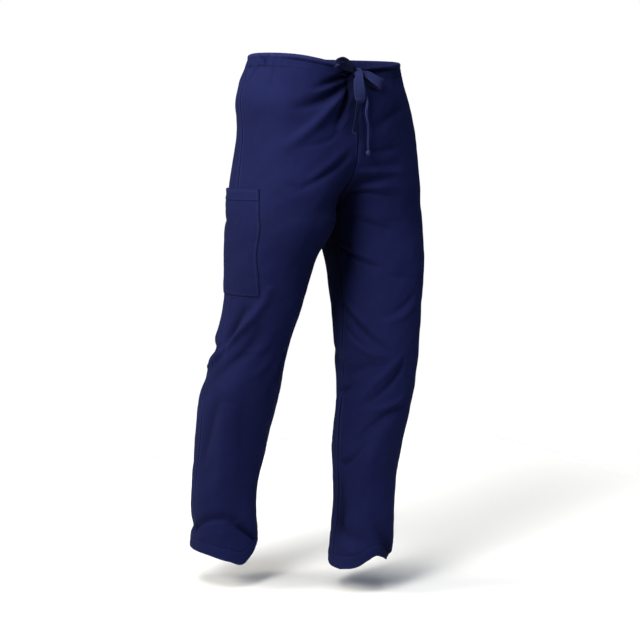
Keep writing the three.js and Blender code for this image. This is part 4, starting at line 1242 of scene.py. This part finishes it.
addLump(
    "tieKnot", tapeSettings["knot"], tapeSettings["knotHalf"], knotSettings["pleats"], "tie_knot",
    knotSettings["size"],
)
endCentre = np.array(tapeSettings["knot"]) + np.array(tapeRows["endLeft"][-1][:3])
endCentre[2] -= knotSettings["endHalf"][2] + knotSettings["endGap"]
endKnot = addLump(
    "tieEndKnot", endCentre, knotSettings["endHalf"], knotSettings["endPleats"], "tie_end_knot",
    knotSettings["endSize"],
)

tapes = {}
for name, rows in tapeRows.items():
    cord = tapeCords[name]
    tapes[name] = addTape("tie" + name[0].upper() + name[1:], rows, cord)
    print(name, "made, tape length", round(tapes[name][2], 1), "mm")


# frayed end of the right tape: loose yarns
fraySettings = {"count": 26, "length": (3, 7), "radius": 0.32, "rings": 6, "around": 4, "share": 0.78, "seed": 5}


def addFray(tape, settings):
    _, centres, _, across, face = tape
    dice = np.random.default_rng(settings["seed"])
    tip, along = centres[-1], centres[-1] - centres[-2]
    along = along / np.linalg.norm(along)
    half = settings["share"] * tapeSettings["width"] / 2
    ringCount, around = settings["rings"], settings["around"]
    points, faces = [], []
    for k in range(settings["count"]):
        place = -0.95 + 1.9 * (k + 0.5) / settings["count"]
        root = tip - along * 1.2 + across[-1] * place * half + face[-1] * dice.uniform(-0.4, 0.4)
        reach = dice.uniform(*settings["length"])
        lean = across[-1] * dice.normal() * 0.22 + face[-1] * dice.normal() * 0.25
        curl = np.cross(along, across[-1]) * dice.normal() * 0.15
        first = len(points)
        for s in range(ringCount):
            t = s / (ringCount - 1)
            centre = root + along * reach * t + lean * reach * t * t + curl * reach * math.sin(t * 5)
            radius = settings["radius"] * (1 - 0.55 * t)
            for q in range(around):
                turn = q * 2 * math.pi / around
                points.append(centre + radius * (across[-1] * math.cos(turn) + face[-1] * math.sin(turn)))
        for s in range(ringCount - 1):
            for q in range(around):
                a, b = first + s * around + q, first + s * around + (q + 1) % around
                faces.append((a, b, b + around, a + around))
        last = len(points) - around
        faces.append(tuple(first + q for q in reversed(range(around))))
        faces.append(tuple(last + q for q in range(around)))
    points = np.array(points)
    marks = {"wear": np.full(len(points), 0.35), "groove": np.zeros(len(points))}
    return addPiece("tieFray", points, np.array(faces), navyTape, (), points[:, [0, 2]], marks)


fray = addFray(tapes["endRight"], fraySettings)

for name, cord in tapeCords.items():
    piece, centres, length = tapes[name][:3]


# the tape inside the casing, out through the slit to the knot
def addBand(settings):
    rings = []
    knot, half = settings["knot"], settings["knotHalf"]
    for side in ("right", "left"):
        part = []
        sign = sideSign[side]
        x = -1.5 + sign * (settings["thickness"] / 2 + 0.25)
        for y, reach in ((knot[1] + half[1] + 0.6, 4), (knot[1] + half[1] + 3.5, 6)):
            u, v = tapeSection(reach, settings["thickness"])
            part.append(np.stack([x - sign * v, np.full(u.shape, y), knot[2] + u], -1))
        at = casingAngles(side, casingSettings)
        tall = settings["inCasing"] / 2
        u, v = tapeSection(tall, settings["thickness"])
        off = -(casingSettings["wall"] + casingSettings["room"] / 2)
        down = settings["tunnelTop"] + tall
        centre, normal = casingPoint(side, at, np.full(at.shape, off), np.full(at.shape, down))
        for k in range(0, len(at), 2):
            ring = centre[k] + normal[k] * v[:, None]
            ring[:, 2] += u
            part.append(ring)
        rings += part if side == "right" else part[::-1]
    rings = np.array(rings)
    travel = arcLengths(rings.mean(1))
    width = np.linspace(0, 2 * settings["inCasing"], rings.shape[1])[None, :] * np.ones((len(rings), 1))
    uv = np.stack([width, travel[:, None] * np.ones(width.shape)], -1)
    # painted shade: the band is darkened all along, as it lies inside the casing and in shadow at the slit
    marks = {"wear": np.zeros(width.shape), "groove": np.full(width.shape, 0.85)}
    return addSweep("tieBand", rings, navyTape, ("drawstring_band",), uv, marks)


addBand(tapeSettings)
print("drawstring made")


# stitches: one node tree sets a row of thread along any path
def stitchTree():
    tree = bpy.data.node_groups.new("stitchRow", "GeometryNodeTree")
    face = tree.interface
    face.new_socket(name="Path", in_out="INPUT", socket_type="NodeSocketGeometry")
    for name, value in (("Spacing", 0.003), ("Stitch Length", 0.0023), ("Thread Width", 0.0006)):
        face.new_socket(name=name, in_out="INPUT", socket_type="NodeSocketFloat").default_value = value
    face.new_socket(name="Seed", in_out="INPUT", socket_type="NodeSocketInt").default_value = 7
    face.new_socket(name="Thread", in_out="INPUT", socket_type="NodeSocketMaterial")
    face.new_socket(name="Stitches", in_out="OUTPUT", socket_type="NodeSocketGeometry")
    given = tree.nodes.new("NodeGroupInput")
    result = tree.nodes.new("NodeGroupOutput")
    resample = tree.nodes.new("GeometryNodeResampleCurve")
    resample.mode = "LENGTH"
    tangent = tree.nodes.new("GeometryNodeInputTangent")
    turn = tree.nodes.new("FunctionNodeAlignRotationToVector")
    turn.axis = "X"
    ball = tree.nodes.new("GeometryNodeMeshUVSphere")
    ball.inputs["Segments"].default_value = 6
    ball.inputs["Rings"].default_value = 4
    ball.inputs["Radius"].default_value = 0.5
    size = tree.nodes.new("ShaderNodeCombineXYZ")
    shape = tree.nodes.new("GeometryNodeTransform")
    vary = tree.nodes.new("FunctionNodeRandomValue")
    vary.data_type = "FLOAT_VECTOR"
    vary.inputs[0].default_value = (0.88, 0.9, 0.9)
    vary.inputs[1].default_value = (1.06, 1.1, 1.1)
    place = tree.nodes.new("GeometryNodeInstanceOnPoints")
    real = tree.nodes.new("GeometryNodeRealizeInstances")
    smooth = tree.nodes.new("GeometryNodeSetShadeSmooth")
    dye = tree.nodes.new("GeometryNodeSetMaterial")
    link(tree, given, "Path", resample, "Curve")
    link(tree, given, "Spacing", resample, "Length")
    link(tree, tangent, 0, turn, "Vector")
    link(tree, given, "Stitch Length", size, "X")
    link(tree, given, "Thread Width", size, "Y")
    link(tree, given, "Thread Width", size, "Z")
    link(tree, ball, "Mesh", shape, "Geometry")
    link(tree, size, 0, shape, "Scale")
    link(tree, given, "Seed", vary, "Seed")
    link(tree, resample, 0, place, "Points")
    link(tree, shape, 0, place, "Instance")
    link(tree, turn, 0, place, "Rotation")
    link(tree, vary, 0, place, "Scale")
    link(tree, place, 0, real, 0)
    link(tree, real, 0, smooth, 0)
    link(tree, smooth, 0, dye, "Geometry")
    link(tree, given, "Thread", dye, "Material")
    link(tree, dye, 0, result, 0)
    return tree


stitching = stitchTree()


def addStitches(name, paths, spacing=3.0, length=2.3, width=0.62, seed=7):
    wire = bpy.data.curves.new(name + "Path", "CURVE")
    wire.dimensions = "3D"
    for path in paths:
        path = np.asarray(path) * metre
        spline = wire.splines.new("POLY")
        spline.points.add(len(path) - 1)
        spline.points.foreach_set("co", np.concatenate([path, np.ones((len(path), 1))], 1).ravel())
    carrier = bpy.data.objects.new(name + "Path", wire)
    bpy.context.scene.collection.objects.link(carrier)
    modifier = carrier.modifiers.new("stitches", "NODES")
    modifier.node_group = stitching
    values = {
        "Spacing": spacing * metre,
        "Stitch Length": length * metre,
        "Thread Width": width * metre,
        "Seed": seed,
        "Thread": navyThread,
    }
    for item in stitching.interface.items_tree:
        if item.in_out == "INPUT" and item.name in values:
            modifier[item.identifier] = values[item.name]
    depsgraph = bpy.context.evaluated_depsgraph_get()
    mesh = bpy.data.meshes.new_from_object(carrier.evaluated_get(depsgraph), depsgraph=depsgraph)
    mesh.name = name
    bpy.data.objects.remove(carrier)
    bpy.data.curves.remove(wire)
    piece = bpy.data.objects.new(name, mesh)
    bpy.context.scene.collection.objects.link(piece)
    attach(piece, "root")
    return piece


def onFace(side, at, z, off):
    at, z = np.broadcast_arrays(np.asarray(at, float), np.asarray(z, float))
    return facePoint(side, at, z) + faceNormal(side, at, z) * off


# rows of stitches: how far they lie from the seam, and how deep in the cloth
stitchSettings = {
    "riseOffsets": (1.6, 6.2),
    "riseSide": "left",
    "casingUp": 1.1,
    "casingSunk": -0.45,
    "hemUp": 0.1,
    "hemSunk": -0.3,
    "riseSunk": -0.08,
    "pocketIn": 2.0,
    "pocketHemIn": 2.5,
    "step": 2.0,
    "turnStep": 0.6,
}


def risePath(isFront, offset, settings):
    side = settings["riseSide"]
    low = -crotchZ - 6
    depths = np.arange(casingDepth + 3, low, settings["step"])
    start, _ = seamAngles(side, -depths, isFront)
    reach = offset / 118 / deg
    at = start + (reach if isFront else -reach)
    return onFace(side, at, heightAt(side, at, depths), settings["riseSunk"])


def hemRound(side, settings):
    at = np.arange(0, 360, settings["turnStep"])
    depth = np.full(at.shape, float(hemLevel - panelSettings["hemDepth"] + settings["hemUp"]))
    return onFace(side, at, heightAt(side, at, depth), settings["hemSunk"])


risePaths = [
    risePath(isFront, offset, stitchSettings)
    for isFront in (True, False)
    for offset in stitchSettings["riseOffsets"]
]
addStitches("riseStitches", risePaths)

casingPaths = []
for side in sideSign:
    at = casingAngles(side, casingSettings)
    z = edgeHeight(side, at) - (casingDepth - stitchSettings["casingUp"])
    casingPaths.append(onFace(side, at, z, stitchSettings["casingSunk"]))
addStitches("casingStitches", casingPaths, seed=9)

addStitches("hemStitches", [hemRound(side, stitchSettings) for side in sideSign], seed=11)


def pocketPaths(pocket, settings):
    wide, deep = pocket["width"], pocketForm["z"][0] - pocketForm["z"][-1]
    inset, step = settings["pocketIn"], settings["step"]
    down = np.arange(inset, deep - inset, step)
    cross = np.arange(inset, wide - inset, step)
    outline = np.concatenate([
        np.stack([np.full(down.shape, inset), down], -1),
        np.stack([cross, np.full(cross.shape, deep - inset)], -1),
        np.stack([np.full(down.shape, wide - inset), down[::-1]], -1),
    ])
    outlineOff = np.full(len(outline), pocket["lift"] + pocket["wall"] - 0.2)
    across = np.arange(settings["pocketHemIn"], wide - settings["pocketHemIn"], step)
    side = np.minimum(across, wide - across)
    off = pocket["lift"] + pocket["belly"] * ease(side / 16)
    off = off + pocket["mouth"] * ease(side / 30) * (1 - ease(pocket["hem"] / 70)) + pocket["wall"] + 0.25
    hem = np.full(across.shape, float(pocket["hem"]))
    return [pocketPoint(outline[:, 0], outline[:, 1], outlineOff, pocket), pocketPoint(across, hem, off, pocket)]


addStitches("pocketStitches", pocketPaths(pocketSettings, stitchSettings), seed=13)
print("stitches made")


# studio: pale floor, soft lights
studioSettings = {
    "floorZ": -1.052,
    "floorReach": 1.25,
    "floorColour": (0.5, 0.5, 0.5, 1),
    "backdrop": 1.0,
    "ambient": 0.07,
    "ambientTint": (0.35, 0.5, 1, 1),
    "lights": [
        {"name": "keyLight", "from": (-0.73, 0.42, 0.53), "spread": 22, "power": 3.8, "tint": (1, 0.96, 0.84)},
        {"name": "frontLight", "from": (-0.75, -0.30, 0.59), "spread": 22, "power": 2.8, "tint": (1, 0.99, 0.96)},
        {"name": "edgeLight", "from": (0.24, -0.91, 0.34), "spread": 30, "power": 1.7, "tint": (0.76, 0.84, 1)},
        {"name": "topLight", "from": (-0.1, -0.1, 1), "spread": 40, "power": 2.8, "tint": (1, 1, 1)},
    ],
    "panel": {
        "at": (-0.9, -0.4, 0.42),
        "towards": (-0.05, -0.05, -0.12),
        "size": 0.42,
        "power": 23,
        "tint": (1, 0.97, 0.88),
    },
}


def addLamp(light, row, place, way):
    light.energy = row["power"]
    light.color = row["tint"]
    lamp = bpy.data.objects.new(light.name, light)
    lamp.location = place
    lamp.rotation_mode = "QUATERNION"
    lamp.rotation_quaternion = way.to_track_quat("-Z", "Y")
    bpy.context.scene.collection.objects.link(lamp)
    return lamp


def addStudio(settings):
    reach = settings["floorReach"]
    corners = ((-reach, -reach), (reach, -reach), (reach, reach), (-reach, reach))
    points = [corner + (settings["floorZ"],) for corner in corners]
    mesh = bpy.data.meshes.new("studioFloor")
    mesh.from_pydata(points, [], [(0, 1, 2, 3)])
    floor = bpy.data.objects.new("studioFloor", mesh)
    bpy.context.scene.collection.objects.link(floor)
    material = bpy.data.materials.new("paleFloor")
    material.use_nodes = True
    shader = material.node_tree.nodes["Principled BSDF"]
    shader.inputs["Base Color"].default_value = settings["floorColour"]
    shader.inputs["Roughness"].default_value = 0.8
    mesh.materials.append(material)
    world = bpy.data.worlds.new("studioWorld")
    world.use_nodes = True
    tree = world.node_tree
    backdrop = tree.nodes["Background"]
    backdrop.inputs["Color"].default_value = (1, 1, 1, 1)
    backdrop.inputs["Strength"].default_value = settings["backdrop"]
    ambient = tree.nodes.new("ShaderNodeBackground")
    ambient.inputs["Color"].default_value = settings["ambientTint"]
    ambient.inputs["Strength"].default_value = settings["ambient"]
    rays = tree.nodes.new("ShaderNodeLightPath")
    blend = tree.nodes.new("ShaderNodeMixShader")
    link(tree, rays, "Is Camera Ray", blend, "Fac")
    tree.links.new(ambient.outputs[0], blend.inputs[1])
    tree.links.new(backdrop.outputs[0], blend.inputs[2])
    tree.links.new(blend.outputs[0], tree.nodes["World Output"].inputs["Surface"])
    bpy.context.scene.world = world
    for row in settings["lights"]:
        light = bpy.data.lights.new(row["name"], "SUN")
        light.angle = row["spread"] * deg
        way = Vector(row["from"])
        addLamp(light, row, way * 3, -way)
    # one soft panel near the waist, so that the light falls off towards the hems
    panel = settings["panel"]
    light = bpy.data.lights.new("waistLight", "AREA")
    light.size = panel["size"]
    lamp = addLamp(light, panel, Vector(panel["at"]), Vector(panel["towards"]) - Vector(panel["at"]))
    lamp.visible_camera = False
    bpy.context.scene.view_settings.view_transform = "Standard"


addStudio(studioSettings)
print("studio set")
